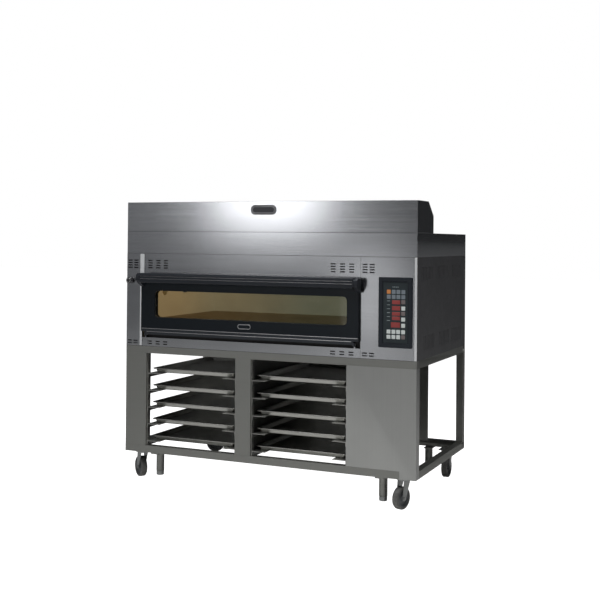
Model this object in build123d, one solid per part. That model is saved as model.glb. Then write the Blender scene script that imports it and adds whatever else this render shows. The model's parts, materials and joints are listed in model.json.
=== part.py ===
from build123d import *
import os

# Bakery deck oven on a wheeled tray rack. Millimetres. X runs left to right, the front faces -Y, +Z is up.
# The origin lies on the floor under the middle of the oven.

# --- Overall sizes ---
body_width = 1650.0
body_depth = 885.0
handle_reach = 70.0
ground_clearance = 150.0
stand_height = 573.0
oven_height = 500.0
collar_height = 118.0
hood_height = 158.0
hood_depth = 265.0
hood_flat = 180.0
hood_drop = 70.0

# --- Stock and fits ---
sheet = 2.0
tube = 38.0
tube_wall = 2.0
slide_gap = 0.5
running_gap = 0.05
loose_gap = 0.4

# --- Stand ---
left_column_width = 129.0
left_column_depth = 45.0
centre_post_width = 90.0
centre_post_depth = 48.0
bay_width = 540.0
rack_bay_width = 529.0
corner_post_width = 85.0
corner_post_depth = 50.0
rear_sheet_width = 164.0
upright_width = 25.0
upright_thickness = 4.0
upright_setback = 10.0
weld_lap = 10.0
runner_leg = 75.0
runner_flange = 22.0
runner_thickness = 2.0

# --- Baking trays ---
tray_levels = 5
tray_pitch = 91.0
lowest_runner_rise = 24.0
tray_width = 513.0
tray_depth = 660.0
tray_height = 25.0
tray_rim = 12.0
tray_slope = 6.0
tray_sheet = 1.5
tray_setback = 40.0
left_tray_shift = -5.0
tray_seat_gap = 0.3

# --- Casters and screw feet ---
caster_inset_x = 76.0
caster_inset_y = 60.0
caster_trail = 28.0
caster_turns = {"fl": 145.0, "fr": 252.0, "rl": 29.0, "rr": 270.0}
wheel_radius = 55.0
wheel_width = 32.0
tyre_thickness = 12.0
caster_plate = 85.0
caster_plate_thickness = 4.0
king_pin_radius = 6.0
axle_radius = 5.0
fork_sheet = 3.0
fork_crown = 5.0
foot_inset_x = 186.0
foot_inset_y = 60.0
foot_radius = 21.0
foot_lift = 25.0
foot_pad_height = 21.0
foot_stem_radius = 10.0
foot_bracket = 6.0
foot_tube_gap = 2.0

# --- Oven body ---
left_pillar_width = 86.0
jamb_width = 14.0
jamb_cap_width = 26.0
jamb_proud = 3.0
control_column_width = 290.0
corner_return = 14.0
fascia_return = 28.0
upper_fascia_height = 108.0
lower_fascia_height = 47.0
vent_width = 26.0
vent_height = 6.0
vent_pitch = 13.0

# --- Baking chamber ---
chamber_width = 1214.0
chamber_depth = 730.0
chamber_height = 296.0
chamber_floor = 75.0
hearth_thickness = 22.0
hearth_lift = 46.0
hearth_slabs = 3
ledge_width = 12.0
heater_radius = 4.0
heater_spacing = 100.0
heater_overhang = 15.0
lower_heater_lift = 18.0
upper_heater_drop = 18.0
seal_width = 10.0
seal_clearance = 0.6
insulation_thickness = 50.0
insulation_gap = 0.3

# --- Door ---
door_gap = 4.0
door_slot = 35.0
door_front = 20.0
door_back = 18.0
door_skin = 5.0
door_strip = 18.0
kick_drop = 17.0
window_side = 85.0
window_right_side = 61.0
window_low = 77.0
window_high = 87.0
window_corner = 22.0
pane_thickness = 4.0
hinge_drop = 15.0
hinge_forward = 8.0
hinge_eye = 11.0
hinge_lug_eye = 8.0
hinge_plate = 6.0
hinge_lug = 8.0
hinge_inset = 20.0
hinge_pin_radius = 5.0
handle_height = 52.0
handle_thickness = 25.0
handle_rise = 8.0
bracket_width = 24.0
bracket_overhang_left = 4.0
bracket_overhang_right = 12.0
bracket_height = 75.0

# --- Damper and its duct ---
damper_x = 26.0
damper_height = 353.0
knob_radius = 17.0
knob_length = 22.0
damper_rod_radius = 4.0
duct_size = 60.0
duct_wall = 1.5
duct_back = 380.0
damper_plate = 52.0
damper_plate_thickness = 3.0

# --- Controls and trim ---
bezel_width = 172.0
bezel_height = 342.0
bezel_border = 20.0
bezel_right = 23.0
bezel_lift = 60.0
bezel_thickness = 6.0
badge_width = 145.0
badge_height = 51.0
badge_thickness = 3.0
badge_lift = 114.5
door_badge_width = 78.0
door_badge_height = 27.0
gland_radius = 20.0
gland_bore = 12.5
gland_length = 30.0

# --- Planes worked out from the sizes above ---
left = -body_width / 2
right = body_width / 2
front = -(body_depth + handle_reach) / 2 + handle_reach
rear = front + body_depth
stand_low = ground_clearance
stand_top = stand_low + stand_height
rail_top = stand_low + tube
lowest_runner = rail_top + lowest_runner_rise
top_rail_low = stand_top - tube
body_top = stand_top + oven_height
collar_top = body_top + collar_height
hood_top = collar_top + hood_height
bay_left = left + left_column_width
bay_right = bay_left + bay_width
rack_left = bay_right + centre_post_width
rack_right = rack_left + rack_bay_width
pillar_edge = left + left_pillar_width
column_edge = right - control_column_width
fascia_low = body_top - upper_fascia_height
sill_top = stand_top + lower_fascia_height
door_low = sill_top + door_slot
door_high = fascia_low - door_gap
door_left = pillar_edge + jamb_width + door_gap
door_right = column_edge - door_gap
door_middle = (door_left + door_right) / 2
flange_front = front + fascia_return
chamber_front = flange_front + sheet
chamber_back = chamber_front + chamber_depth
chamber_left = door_middle - chamber_width / 2
chamber_right = door_middle + chamber_width / 2
chamber_low = stand_top + chamber_floor
chamber_high = chamber_low + chamber_height
hearth_low = chamber_low + sheet + hearth_lift
hearth_top = hearth_low + hearth_thickness
mouth_high = chamber_high - sheet - 2 * upper_heater_drop
hinge_y = front - hinge_forward
hinge_z = door_low - hinge_drop
damper_y = front + duct_back
damper_z = stand_top + damper_height


def block(x, y, z):
    """A box between two limits on each axis."""
    centre = Pos((x[0] + x[1]) / 2, (y[0] + y[1]) / 2, (z[0] + z[1]) / 2)
    return centre * Box(x[1] - x[0], y[1] - y[0], z[1] - z[0])


def bar(start, direction, length, radius):
    """A round bar that starts at a point and runs along X, Y or Z."""
    turn = {"x": (0, 90, 0), "y": (-90, 0, 0), "z": (0, 0, 0)}[direction]
    along = {"x": (1, 0, 0), "y": (0, 1, 0), "z": (0, 0, 1)}[direction]
    middle = [s + a * length / 2 for s, a in zip(start, along)]
    return Pos(*middle) * Rot(*turn) * Cylinder(radius, length)


def save(name, *pieces):
    """Write every solid of the pieces as one sub-part."""
    solids = [solid for piece in pieces for solid in piece.solids()]
    export_step(solids[0] if len(solids) == 1 else Compound(children=solids), f"parts/{name}.step")


def hollow_tube(x, y, z, along):
    """A square or oblong tube, open at both ends along one axis."""
    limits = {"x": x, "y": y, "z": z}
    inner = {k: v if k == along else (v[0] + tube_wall, v[1] - tube_wall) for k, v in limits.items()}
    return block(x, y, z) - block(inner["x"], inner["y"], inner["z"])


def slots_on_front(centre_x, low, rows):
    """Cutters for a stack of short horizontal vent slots in a front sheet."""
    half = vent_width / 2
    levels = [low + row * vent_pitch for row in range(rows)]
    return [block((centre_x - half, centre_x + half), (front - sheet, front + 2 * sheet), (z, z + vent_height))
            for z in levels]


# --- Stand -----------------------------------------------------------------------------------------------
def corners(inset_x, inset_y):
    """The four corner places of a foot or caster, by the corner's short name."""
    return {
        "fl": (left + inset_x, front + inset_y),
        "fr": (right - inset_x, front + inset_y),
        "rl": (left + inset_x, rear - inset_y),
        "rr": (right - inset_x, rear - inset_y),
    }


def stand_frame():
    """The welded tubes and the foot sockets under them, each its own solid."""
    front_y = (front, front + tube)
    rear_y = (rear - tube, rear)
    low = (stand_low, rail_top)
    high = (top_rail_low, stand_top)
    upright = (rail_top, top_rail_low)
    corner = right - corner_post_width
    pieces = [
        hollow_tube((left, corner), front_y, low, "x"),
        hollow_tube((left, right), rear_y, low, "x"),
        hollow_tube((left, right), front_y, high, "x"),
        hollow_tube((left, right), rear_y, high, "x"),
        hollow_tube((left, left + tube), (front + tube, rear - tube), low, "y"),
        hollow_tube((left, left + tube), (front + tube, rear - tube), high, "y"),
        hollow_tube((right - tube, right), (front + corner_post_depth, rear - tube), low, "y"),
        hollow_tube((right - tube, right), (front + tube, rear - tube), high, "y"),
        hollow_tube((left + sheet, left + tube), (front + sheet, front + tube), upright, "z"),
        hollow_tube((left, left + tube), rear_y, upright, "z"),
        hollow_tube((right - tube, right), rear_y, upright, "z"),
        hollow_tube((corner, right - sheet), (front + sheet, front + corner_post_depth),
                    (stand_low, top_rail_low), "z"),
    ]
    ends = ((left, left + sheet), (right - sheet, right))
    pieces += [rail_cap(x, y, z) for x, y, z in (
        (ends[0], front_y, low), (ends[0], rear_y, low), (ends[1], rear_y, low), (ends[0], front_y, high),
        (ends[1], front_y, high), (ends[0], rear_y, high), (ends[1], rear_y, high))]
    return pieces + [foot_socket(x, y) for x, y in corners(foot_inset_x, foot_inset_y).values()]


def rail_cap(x, y, z):
    """A flush steel plug in the end of a long rail."""
    return block(x, (y[0] + tube_wall, y[1] - tube_wall), (z[0] + tube_wall, z[1] - tube_wall))


def foot_socket(x, y):
    """A bracket under a rail and the round nut bar that a screw foot's stem runs in."""
    edge = front if y < 0 else rear
    reach = y + foot_radius + sheet if y < 0 else y - foot_radius - sheet
    plate_top = stand_low
    plate_low = plate_top - foot_bracket
    plate = block((x - foot_radius - sheet, x + foot_radius + sheet), (min(edge, reach), max(edge, reach)),
                  (plate_low, plate_top))
    tube_low = foot_lift + foot_pad_height + foot_tube_gap
    socket = plate + bar((x, y, tube_low), "z", plate_low - tube_low, foot_radius)
    return socket - bar((x, y, tube_low), "z", plate_top - tube_low, foot_stem_radius + running_gap)


def stand_left_column():
    """A folded column: front face and two returns."""
    z = (rail_top, top_rail_low)
    y = (front, front + left_column_depth)
    return (block((left, bay_left), (front, front + sheet), z)
            + block((left, left + sheet), y, z)
            + block((bay_left - sheet, bay_left), y, z))


def stand_centre_post():
    z = (rail_top, top_rail_low)
    y = (front, front + centre_post_depth)
    return (block((bay_right, rack_left), (front, front + sheet), z)
            + block((bay_right, bay_right + sheet), y, z)
            + block((rack_left - sheet, rack_left), y, z))


def stand_right_panel():
    """The big front sheet, folded round the corner post, which it follows down past the rail."""
    z = (rail_top, top_rail_low)
    full = (stand_low, top_rail_low)
    return (block((rack_right, right), (front, front + sheet), z)
            + block((right - corner_post_width, right), (front, front + sheet), full)
            + block((right - sheet, right), (front, front + corner_post_depth), full)
            + block((rack_right, rack_right + sheet), (front, front + corner_post_depth), z))


def centre_partition():
    return block((rack_left - sheet, rack_left), (front + centre_post_depth, rear - tube),
                 (rail_top - weld_lap, top_rail_low + weld_lap))


def service_partition():
    """The rack's right wall, folded at the back into a sheet that closes part of the rear."""
    y_back = rear - tube
    z = (rail_top - weld_lap, top_rail_low + weld_lap)
    return (block((rack_right, rack_right + sheet), (front + corner_post_depth, y_back), z)
            + block((rack_right, rack_right + rear_sheet_width), (y_back - sheet, y_back), z))


def tray_runner(wall_x, side, level):
    """One angle: a flange down the upright and a wide leg under the tray. side is +1 where it points right."""
    top = lowest_runner + level * tray_pitch
    y = (front + upright_setback, rear - tube)
    start = wall_x + side * upright_thickness
    flange = sorted((start, start + side * runner_thickness))
    leg = sorted((start, start + side * runner_leg))
    return (block(leg, y, (top - runner_thickness, top))
            + block(flange, y, (top - runner_flange, top)))


def tray_rack(left_wall, right_wall):
    """Front and rear uprights on both walls of a bay, with a pair of runners at every level."""
    pieces = []
    front_y = (front + upright_setback, front + upright_setback + upright_width)
    rear_y = (rear - tube - upright_width, rear - tube)
    for wall_x, side in ((left_wall, 1), (right_wall, -1)):
        x = sorted((wall_x, wall_x + side * upright_thickness))
        pieces.append(block(x, front_y, (rail_top, top_rail_low)))
        pieces.append(block(x, rear_y, (stand_low, stand_top)))
        pieces += [tray_runner(wall_x, side, level) for level in range(tray_levels)]
    return pieces


def baking_tray(centre_x, level):
    """A sheet pan with sloped walls and a flat rim, resting on its pair of runners."""
    low = lowest_runner + level * tray_pitch + tray_seat_gap
    middle_y = front + tray_setback + tray_depth / 2
    top_x = tray_width - 2 * tray_rim
    top_y = tray_depth - 2 * tray_rim

    def taper(inset, start, end):
        lower = Pos(centre_x, middle_y, start) * Rectangle(
            top_x - 2 * tray_slope - 2 * inset, top_y - 2 * tray_slope - 2 * inset)
        upper = Pos(centre_x, middle_y, end) * Rectangle(top_x - 2 * inset, top_y - 2 * inset)
        return loft([lower, upper])

    top = low + tray_height
    rim = Pos(centre_x, middle_y, top - tray_sheet / 2) * Box(tray_width, tray_depth, tray_sheet)
    return (taper(0, low, top) + rim) - taper(tray_sheet, low + tray_sheet, top + tray_sheet)


# --- Casters and feet ------------------------------------------------------------------------------------
def caster_plates():
    """Four top plates, each with its fixed king pin."""
    top = ground_clearance
    low = top - caster_plate_thickness
    half = caster_plate / 2
    pin_length = fork_crown + 2 * fork_sheet + loose_gap
    pieces = []
    for x, y in corners(caster_inset_x, caster_inset_y).values():
        plate = block((x - half, x + half), (y - half, y + half), (low, top))
        pin = bar((x, y, low - pin_length), "z", pin_length, king_pin_radius)
        head = bar((x, y, low - pin_length - fork_sheet), "z", fork_sheet, king_pin_radius + fork_sheet)
        pieces.append(plate + pin + head)
    return pieces


def caster_fork(x, y, turn):
    """A crown, two splayed cheeks and the axle bolt through their lower ends, trailing along +X, then turned."""
    crown_top = ground_clearance - caster_plate_thickness - loose_gap
    crown_low = crown_top - fork_crown
    inner = wheel_width / 2 + fork_sheet / 2
    outer = inner + fork_sheet
    ring = bar((0, 0, crown_low), "z", fork_crown, caster_plate / 2 - fork_sheet)
    eye = wheel_radius - tyre_thickness - fork_sheet
    cheeks = []
    for near, far in ((inner, outer), (-outer, -inner)):
        outline = Polyline((-outer, crown_low), (outer + eye / 4, crown_low),
                           (caster_trail + eye / 3, wheel_radius), (caster_trail - eye / 3, wheel_radius),
                           (-outer, crown_low), close=False)
        face = make_face(Plane.XZ * outline)
        tip = bar((caster_trail, min(near, far), wheel_radius), "y", fork_sheet, eye / 3)
        cheeks.append(Pos(0, max(near, far), 0) * extrude(face, amount=fork_sheet, dir=(0, -1, 0)) + tip)
    fork = ring + cheeks[0] + cheeks[1]
    fork -= bar((0, 0, crown_low), "z", fork_crown, king_pin_radius + running_gap)
    fork -= bar((caster_trail, -outer, wheel_radius), "y", 2 * outer, axle_radius)
    head = axle_radius + fork_sheet
    bolt = (bar((caster_trail, -outer, wheel_radius), "y", 2 * outer, axle_radius)
            + bar((caster_trail, outer, wheel_radius), "y", fork_sheet, head)
            + bar((caster_trail, -outer - fork_sheet, wheel_radius), "y", fork_sheet, head))
    place = Pos(x, y, 0) * Rot(0, 0, turn)
    return [place * fork, place * bolt]


def caster_wheel(x, y, turn):
    """A tyre round a dished hub, bored to turn on the axle bolt."""
    half = wheel_width / 2
    tyre = bar((caster_trail, -half, wheel_radius), "y", wheel_width, wheel_radius)
    tyre = fillet(tyre.edges().filter_by(GeomType.CIRCLE), tyre_thickness / 3)
    hub_radius = wheel_radius - tyre_thickness
    tyre -= bar((caster_trail, -half, wheel_radius), "y", wheel_width, hub_radius)
    web = wheel_width / 3
    hub = bar((caster_trail, -half + fork_sheet / 2, wheel_radius), "y", wheel_width - fork_sheet, hub_radius)
    for start in (-half, half - web):
        dish = bar((caster_trail, start, wheel_radius), "y", web, hub_radius - fork_sheet)
        dish -= bar((caster_trail, start, wheel_radius), "y", web, axle_radius + 2 * fork_sheet)
        hub -= dish
    hub -= bar((caster_trail, -half, wheel_radius), "y", wheel_width, axle_radius + running_gap)
    place = Pos(x, y, 0) * Rot(0, 0, turn)
    return [place * tyre, place * hub]


def screw_foot(x, y):
    """A round pad under a stem that screws up into its socket."""
    pad = bar((x, y, foot_lift), "z", foot_pad_height, foot_radius - sheet / 2)
    pad = chamfer(pad.edges().group_by(Axis.Z)[0], sheet)
    stem_top = stand_low - foot_bracket
    return pad + bar((x, y, foot_lift + foot_pad_height), "z", stem_top - foot_lift - foot_pad_height,
                     foot_stem_radius)


# --- Oven body -------------------------------------------------------------------------------------------
def base_pan():
    gland_x, gland_y = gland_place()
    pan = block((left + sheet, right - sheet), (front + sheet, rear - sheet), (stand_top, stand_top + sheet))
    return pan - bar((gland_x, gland_y, stand_top - sheet), "z", 3 * sheet, gland_bore + sheet)


def left_side_panel():
    return block((left, left + sheet), (front + sheet, rear), (stand_top, body_top))


def right_side_panel():
    """The louvred service side: upper and lower groups of upright slots."""
    z = (stand_top, body_top)
    panel = (block((right - sheet, right), (front, rear), z)
             + block((right - corner_return, right), (front, front + sheet), z))
    slot_pitch = 24.0
    slots_per_group = 8
    groups = ((160.0, 435.0, 703.0), (387.0, 452.0)), ((198.0, 466.0, 697.0), (42.0, 114.0))
    cutters = []
    for middles, (low, high) in groups:
        for middle in middles:
            for index in range(slots_per_group):
                y = front + middle + (index - (slots_per_group - 1) / 2) * slot_pitch
                cutters.append(block((right - 2 * sheet, right + sheet), (y - vent_height / 2, y + vent_height / 2),
                                     (stand_top + low, stand_top + high)))
    return panel - cutters


def rear_panel():
    return block((left + sheet, right - sheet), (rear - sheet, rear), (stand_top + sheet, body_top - sheet))


def top_panel():
    """The oven's roof, with the steam duct's hole."""
    panel = block((left + sheet, right - sheet), (front + sheet, rear - sheet), (body_top - sheet, body_top))
    x, y = duct_limits(slide_gap)
    return panel - block(x, y, (body_top - 2 * sheet, body_top + sheet))


def left_pillar():
    """The pillar's folded sheet with its bright proud edge beside the door."""
    z = (stand_top, body_top)
    inner_z = (stand_top + sheet, body_top - sheet)
    pillar = (block((left, pillar_edge), (front, front + sheet), z)
              + block((pillar_edge - sheet, pillar_edge), (front, flange_front), inner_z)
              + block((pillar_edge, pillar_edge + jamb_width), (front - jamb_proud, front + sheet),
                      inner_z)
              + block((pillar_edge, pillar_edge + jamb_cap_width), (front - jamb_proud, front + sheet),
                      (fascia_low, body_top - sheet)))
    upper = fascia_low + 28.0
    low = stand_top + 11.0
    cutters = slots_on_front(left + 21.0, upper, 4) + slots_on_front(left + 58.0, upper, 4)
    cutters += slots_on_front(left + 21.0, low, 2) + slots_on_front(left + 58.0, low, 2)
    pillar -= cutters
    return pillar - bar((left + damper_x, front - sheet, damper_z), "y", 3 * sheet,
                        damper_rod_radius + loose_gap)


def upper_fascia():
    x = (pillar_edge + jamb_cap_width, column_edge)
    fascia = (block(x, (front, front + sheet), (fascia_low, body_top))
              + block(x, (front, flange_front), (fascia_low, fascia_low + sheet)))
    cutters = []
    for middle in (148.0, 198.0, 245.0, 1213.0, 1263.0, 1312.0):
        cutters += slots_on_front(left + middle, fascia_low + 28.0, 4)
    return fascia - cutters


def lower_fascia():
    """The sill under the door, with the two hinge brackets welded on it."""
    x = (pillar_edge + jamb_width, column_edge)
    fascia = (block(x, (front, front + sheet), (stand_top, sill_top))
              + block(x, (front, flange_front), (sill_top - sheet, sill_top)))
    cutters = []
    for middle in (148.0, 198.0, 245.0, 1213.0, 1263.0, 1312.0):
        cutters += slots_on_front(left + middle, stand_top + 11.0, 2)
    fascia -= cutters
    for x_low in hinge_plate_places():
        arm = block((x_low, x_low + hinge_plate), (hinge_y, front + fascia_return / 2), (sill_top, hinge_z))
        eye = bar((x_low, hinge_y, hinge_z), "x", hinge_plate, hinge_eye)
        fascia += arm + eye
        fascia -= bar((x_low, hinge_y, hinge_z), "x", hinge_plate, hinge_pin_radius + running_gap)
    return fascia


def hinge_plate_places():
    """The left faces of the two hinge plates."""
    return door_left + hinge_inset, door_right - hinge_inset - hinge_plate


def control_column():
    """The right-hand column, cut out behind the keypad and slotted beside it."""
    z = (stand_top, body_top)
    column = (block((column_edge, right - corner_return), (front, front + sheet), z)
              + block((column_edge, column_edge + sheet), (front, flange_front),
                      (stand_top + sheet, body_top - sheet)))
    inner_x, inner_z = keypad_limits(-sheet)
    column -= block(inner_x, (front - sheet, front + 2 * sheet), inner_z)
    cutters = []
    for middle in (1382.0, 1419.0):
        cutters += slots_on_front(left + middle, fascia_low + 28.0, 4)
        cutters += slots_on_front(left + middle, stand_top + 11.0, 2)
    return column - cutters


def keypad_limits(margin):
    """The bezel's opening, made smaller all round by a margin."""
    bezel_x = right - bezel_right - bezel_width
    bezel_z = stand_top + bezel_lift
    border = bezel_border + margin
    return ((bezel_x + border, bezel_x + bezel_width - border),
            (bezel_z + border, bezel_z + bezel_height - border))


def control_bezel():
    outer_x, outer_z = keypad_limits(-bezel_border)
    inner_x, inner_z = keypad_limits(0)
    ring = block(outer_x, (front - bezel_thickness, front), outer_z)
    ring = fillet(ring.edges().filter_by(Axis.Y), bezel_thickness)
    return ring - block(inner_x, (front - 2 * bezel_thickness, front + sheet), inner_z)


def keypad_panel():
    x, z = keypad_limits(slide_gap)
    return block(x, (front - bezel_thickness / 2, front + sheet), z)


def gland_place():
    """The cable gland's place in the oven's floor, over the service compartment."""
    return right - 120.0, rear - 160.0


def electrical_parts():
    """The control board, a mounting rail on the partition with three contactors, and the cable gland."""
    x, z = keypad_limits(slide_gap)
    board = block(x, (front + sheet, front + 2 * sheet), z)
    wall = chamber_right + insulation_thickness + 2 * insulation_gap + sheet
    rail = block((wall, wall + 8.0), (front + 200.0, front + 520.0), (stand_top + 200.0, stand_top + 235.0))
    contactors = [block((wall + 8.0, wall + 88.0), (front + y, front + y + 50.0),
                        (stand_top + 175.0, stand_top + 260.0)) for y in (220.0, 320.0, 420.0)]
    gland_x, gland_y = gland_place()
    low = stand_top - gland_length / 2
    gland = (bar((gland_x, gland_y, low), "z", gland_length, gland_bore + sheet)
             + bar((gland_x, gland_y, low), "z", gland_length / 2, gland_radius)
             + bar((gland_x, gland_y, stand_top + sheet), "z", gland_length / 2 - sheet, gland_radius))
    gland -= bar((gland_x, gland_y, low), "z", gland_length, gland_bore)
    partition = block((wall - sheet, wall), (chamber_front, rear - sheet), (stand_top + sheet, body_top - sheet))
    return [board, rail, gland, partition] + contactors


# --- Baking chamber --------------------------------------------------------------------------------------
def duct_limits(margin):
    """The steam duct's outside in plan, grown by a margin."""
    x_low = left + damper_x - duct_size / 2 + 8.0
    return ((x_low - margin, x_low + duct_size + margin),
            (damper_y - margin, damper_y + duct_size + margin))


def lamp_place():
    return front + 190.0, chamber_high - 80.0


def heater_places():
    """The middle of each heating loop across the chamber."""
    slab = (chamber_width - 2 * sheet) / hearth_slabs
    return [chamber_left + sheet + slab * (index + 0.5) + side * slab / 4
            for index in range(hearth_slabs) for side in (-1, 1)]


def heater_levels():
    return chamber_low + sheet + lower_heater_lift, chamber_high - sheet - upper_heater_drop


def heating_elements():
    """Loops of round tube that lie along the chamber, with both ends through its rear wall."""
    start = chamber_front + 60.0
    end = chamber_back + heater_overhang
    loops = []
    for z in heater_levels():
        for x in heater_places():
            half = heater_spacing / 2
            side = Line((x - half, end, z), (x - half, start + half, z))
            turn = ThreePointArc((x - half, start + half, z), (x, start, z), (x + half, start + half, z))
            back = Line((x + half, start + half, z), (x + half, end, z))
            profile = Plane(origin=(x - half, end, z), z_dir=(0, -1, 0)) * Circle(heater_radius)
            loops.append(sweep(profile, path=Wire([side, turn, back])))
    return loops


def baking_chamber():
    """The folded liner, open at the front, with its front flange, hearth ledges and holes."""
    outer = block((chamber_left, chamber_right), (chamber_front, chamber_back), (chamber_low, chamber_high))
    inner = block((chamber_left + sheet, chamber_right - sheet), (chamber_front - sheet, chamber_back - sheet),
                  (chamber_low + sheet, chamber_high - sheet))
    flange = block((pillar_edge + sheet, column_edge - sheet), (flange_front, chamber_front),
                   (sill_top, fascia_low))
    mouth = block((chamber_left + sheet, chamber_right - sheet), (flange_front - sheet, chamber_front + sheet),
                  (hearth_low, mouth_high))
    liner = (outer - inner) + flange - mouth
    for x in (chamber_left + sheet, chamber_right - sheet - ledge_width):
        liner += block((x, x + ledge_width), (chamber_front, chamber_back - sheet),
                       (hearth_low - sheet, hearth_low))
    cutters = []
    for z in heater_levels():
        for x in heater_places():
            for side in (-1, 1):
                cutters.append(bar((x + side * heater_spacing / 2, chamber_back - 2 * sheet, z), "y", 3 * sheet,
                                   heater_radius + loose_gap))
    lamp_y, lamp_z = lamp_place()
    cutters.append(bar((chamber_left - sheet, lamp_y, lamp_z), "x", 3 * sheet, 25.0 + loose_gap))
    cross_y, cross_z = cross_duct_limits()
    cutters.append(block((chamber_left - sheet, chamber_left + 2 * sheet), cross_y, cross_z))
    return liner - cutters


def cross_duct_limits():
    """The outside of the short duct between the chamber's side and the steam duct."""
    z = chamber_high - 100.0
    return (damper_y + 8.0, damper_y + duct_size - 8.0), (z, z + 44.0)


def hearth_stones():
    """Stone slabs side by side, on the chamber's ledges and on bearers between them."""
    slab = (chamber_width - 2 * sheet - 2 * slide_gap) / hearth_slabs
    y = (chamber_front + slide_gap, chamber_back - sheet - slide_gap)
    slabs = []
    for index in range(hearth_slabs):
        x = chamber_left + sheet + slide_gap + index * slab
        slabs.append(block((x, x + slab - slide_gap), y, (hearth_low, hearth_top)))
    bearers = []
    for index in range(1, hearth_slabs):
        x = chamber_left + sheet + slide_gap + index * slab
        bearers.append(block((x - ledge_width, x + ledge_width), y, (chamber_low + sheet, hearth_low)))
    return slabs + bearers


def insulation():
    """Five blankets of mineral wool round the chamber, cut away for the lamp and the cross duct."""
    thick = insulation_thickness
    gap = insulation_gap
    y = (chamber_front + gap, chamber_back - gap)
    across = (chamber_left, chamber_right)
    below = block(across, y, (stand_top + sheet + gap, chamber_low - gap))
    above = block(across, y, (chamber_high + gap, body_top - sheet - gap))
    beside = block((chamber_left - gap - thick, chamber_left - gap), y, (chamber_low, chamber_high))
    lamp_y, lamp_z = lamp_place()
    beside -= bar((chamber_left - gap - thick, lamp_y, lamp_z), "x", thick, 25.0 + gap)
    cross_y, cross_z = cross_duct_limits()
    beside -= block((chamber_left - gap - thick, chamber_left - gap), (cross_y[0] - gap, cross_y[1] + gap),
                    (cross_z[0] - gap, cross_z[1] + gap))
    other = block((chamber_right + gap, chamber_right + gap + thick), y, (chamber_low, chamber_high))
    behind = block(across, (rear - sheet - gap - thick, rear - sheet - gap), (chamber_low, chamber_high))
    return [below, above, beside, other, behind]


def chamber_lamp():
    """A round lens in the chamber's left wall with its lamp holder behind it."""
    y, z = lamp_place()
    lens = bar((chamber_left - sheet, y, z), "x", 3 * sheet, 25.0)
    holder = bar((chamber_left - insulation_thickness, y, z), "x", insulation_thickness - sheet, 20.0)
    return [lens, holder]


def steam_duct():
    """The upright duct to the hood, the cross duct from the chamber, and the damper plate's slit."""
    x, y = duct_limits(0)
    z = (chamber_high - 110.0, body_top + collar_height / 2)
    duct = block(x, y, z) - block((x[0] + duct_wall, x[1] - duct_wall), (y[0] + duct_wall, y[1] - duct_wall),
                                  (z[0] + duct_wall, z[1] + duct_wall))
    cross_y, cross_z = cross_duct_limits()
    cross_y = (cross_y[0] + loose_gap, cross_y[1] - loose_gap)
    cross_z = (cross_z[0] + loose_gap, cross_z[1] - loose_gap)
    duct += block((x[1], chamber_left + sheet), cross_y, cross_z)
    duct -= block((x[1] - 2 * duct_wall, chamber_left + 2 * sheet),
                  (cross_y[0] + duct_wall, cross_y[1] - duct_wall),
                  (cross_z[0] + duct_wall, cross_z[1] - duct_wall))
    slit = (damper_plate_thickness + 2 * loose_gap) / 2
    duct -= bar((left + damper_x, y[0] - duct_wall, damper_z), "y", 3 * duct_wall, damper_rod_radius + loose_gap)
    return duct - block((x[0] + duct_wall, x[1] - duct_wall), (y[0] - duct_wall, y[0] + 2 * duct_wall),
                        (damper_z - slit, damper_z + slit))


def damper():
    """The pull knob, its rod and the plate that closes the steam duct."""
    x = left + damper_x
    duct_x, duct_y = duct_limits(0)
    knob = bar((x, front - 2 * sheet - knob_length, damper_z), "y", knob_length, knob_radius)
    knob = fillet(knob.edges().filter_by(GeomType.CIRCLE), 3.0)
    plate_front = duct_y[0] + (duct_size - damper_plate) / 2
    rod = bar((x, front - 2 * sheet, damper_z), "y", plate_front - front + 2 * sheet, damper_rod_radius)
    plate_x = (duct_x[0] + duct_x[1]) / 2
    half = damper_plate / 2
    plate = block((plate_x - half, plate_x + half), (plate_front, plate_front + damper_plate),
                  (damper_z - damper_plate_thickness / 2, damper_z + damper_plate_thickness / 2))
    return [knob + rod + plate]


# --- Door ------------------------------------------------------------------------------------------------
def window_limits():
    return ((door_left + window_side, door_right - window_right_side),
            (door_low + window_low, door_high - window_high))


def rounded_opening(y, grow):
    """A block through the door at the window, with round corners."""
    x, z = window_limits()
    cut = block((x[0] - grow, x[1] + grow), y, (z[0] - grow, z[1] + grow))
    return fillet(cut.edges().filter_by(Axis.Y), window_corner)


def door_frame():
    """The door's steel tray with its front strip, the kick strip below it, the hinge lugs and the window."""
    x = (door_left, door_right)
    skin = front - door_front + door_skin
    frame = block(x, (skin, front + door_back), (door_low, door_high))
    frame += block(x, (front - door_front, skin), (door_low, door_low + door_strip))
    frame -= rounded_opening((front - 2 * door_front, front + 2 * door_back), 0)
    grow = window_corner
    for start in (front - 2 * sheet, front + door_back - 2 * pane_thickness):
        frame -= pane_block(start, grow, slide_gap)
    left_lug, right_lug = hinge_lug_places()
    frame += block((left_lug, right_lug + hinge_lug), (front - door_front, skin), (door_low - kick_drop, door_low))
    for x_low in (left_lug, right_lug):
        lug = block((x_low, x_low + hinge_lug), (hinge_y - hinge_lug_eye, hinge_y + hinge_lug_eye),
                    (hinge_z, door_low))
        frame += lug + bar((x_low, hinge_y, hinge_z), "x", hinge_lug, hinge_lug_eye)
        frame -= bar((x_low, hinge_y, hinge_z), "x", hinge_lug, hinge_pin_radius)
    return frame


def hinge_lug_places():
    """The left faces of the two lugs on the door, each just inboard of its hinge plate."""
    left_plate, right_plate = hinge_plate_places()
    return left_plate + hinge_plate + slide_gap, right_plate - slide_gap - hinge_lug


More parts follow.
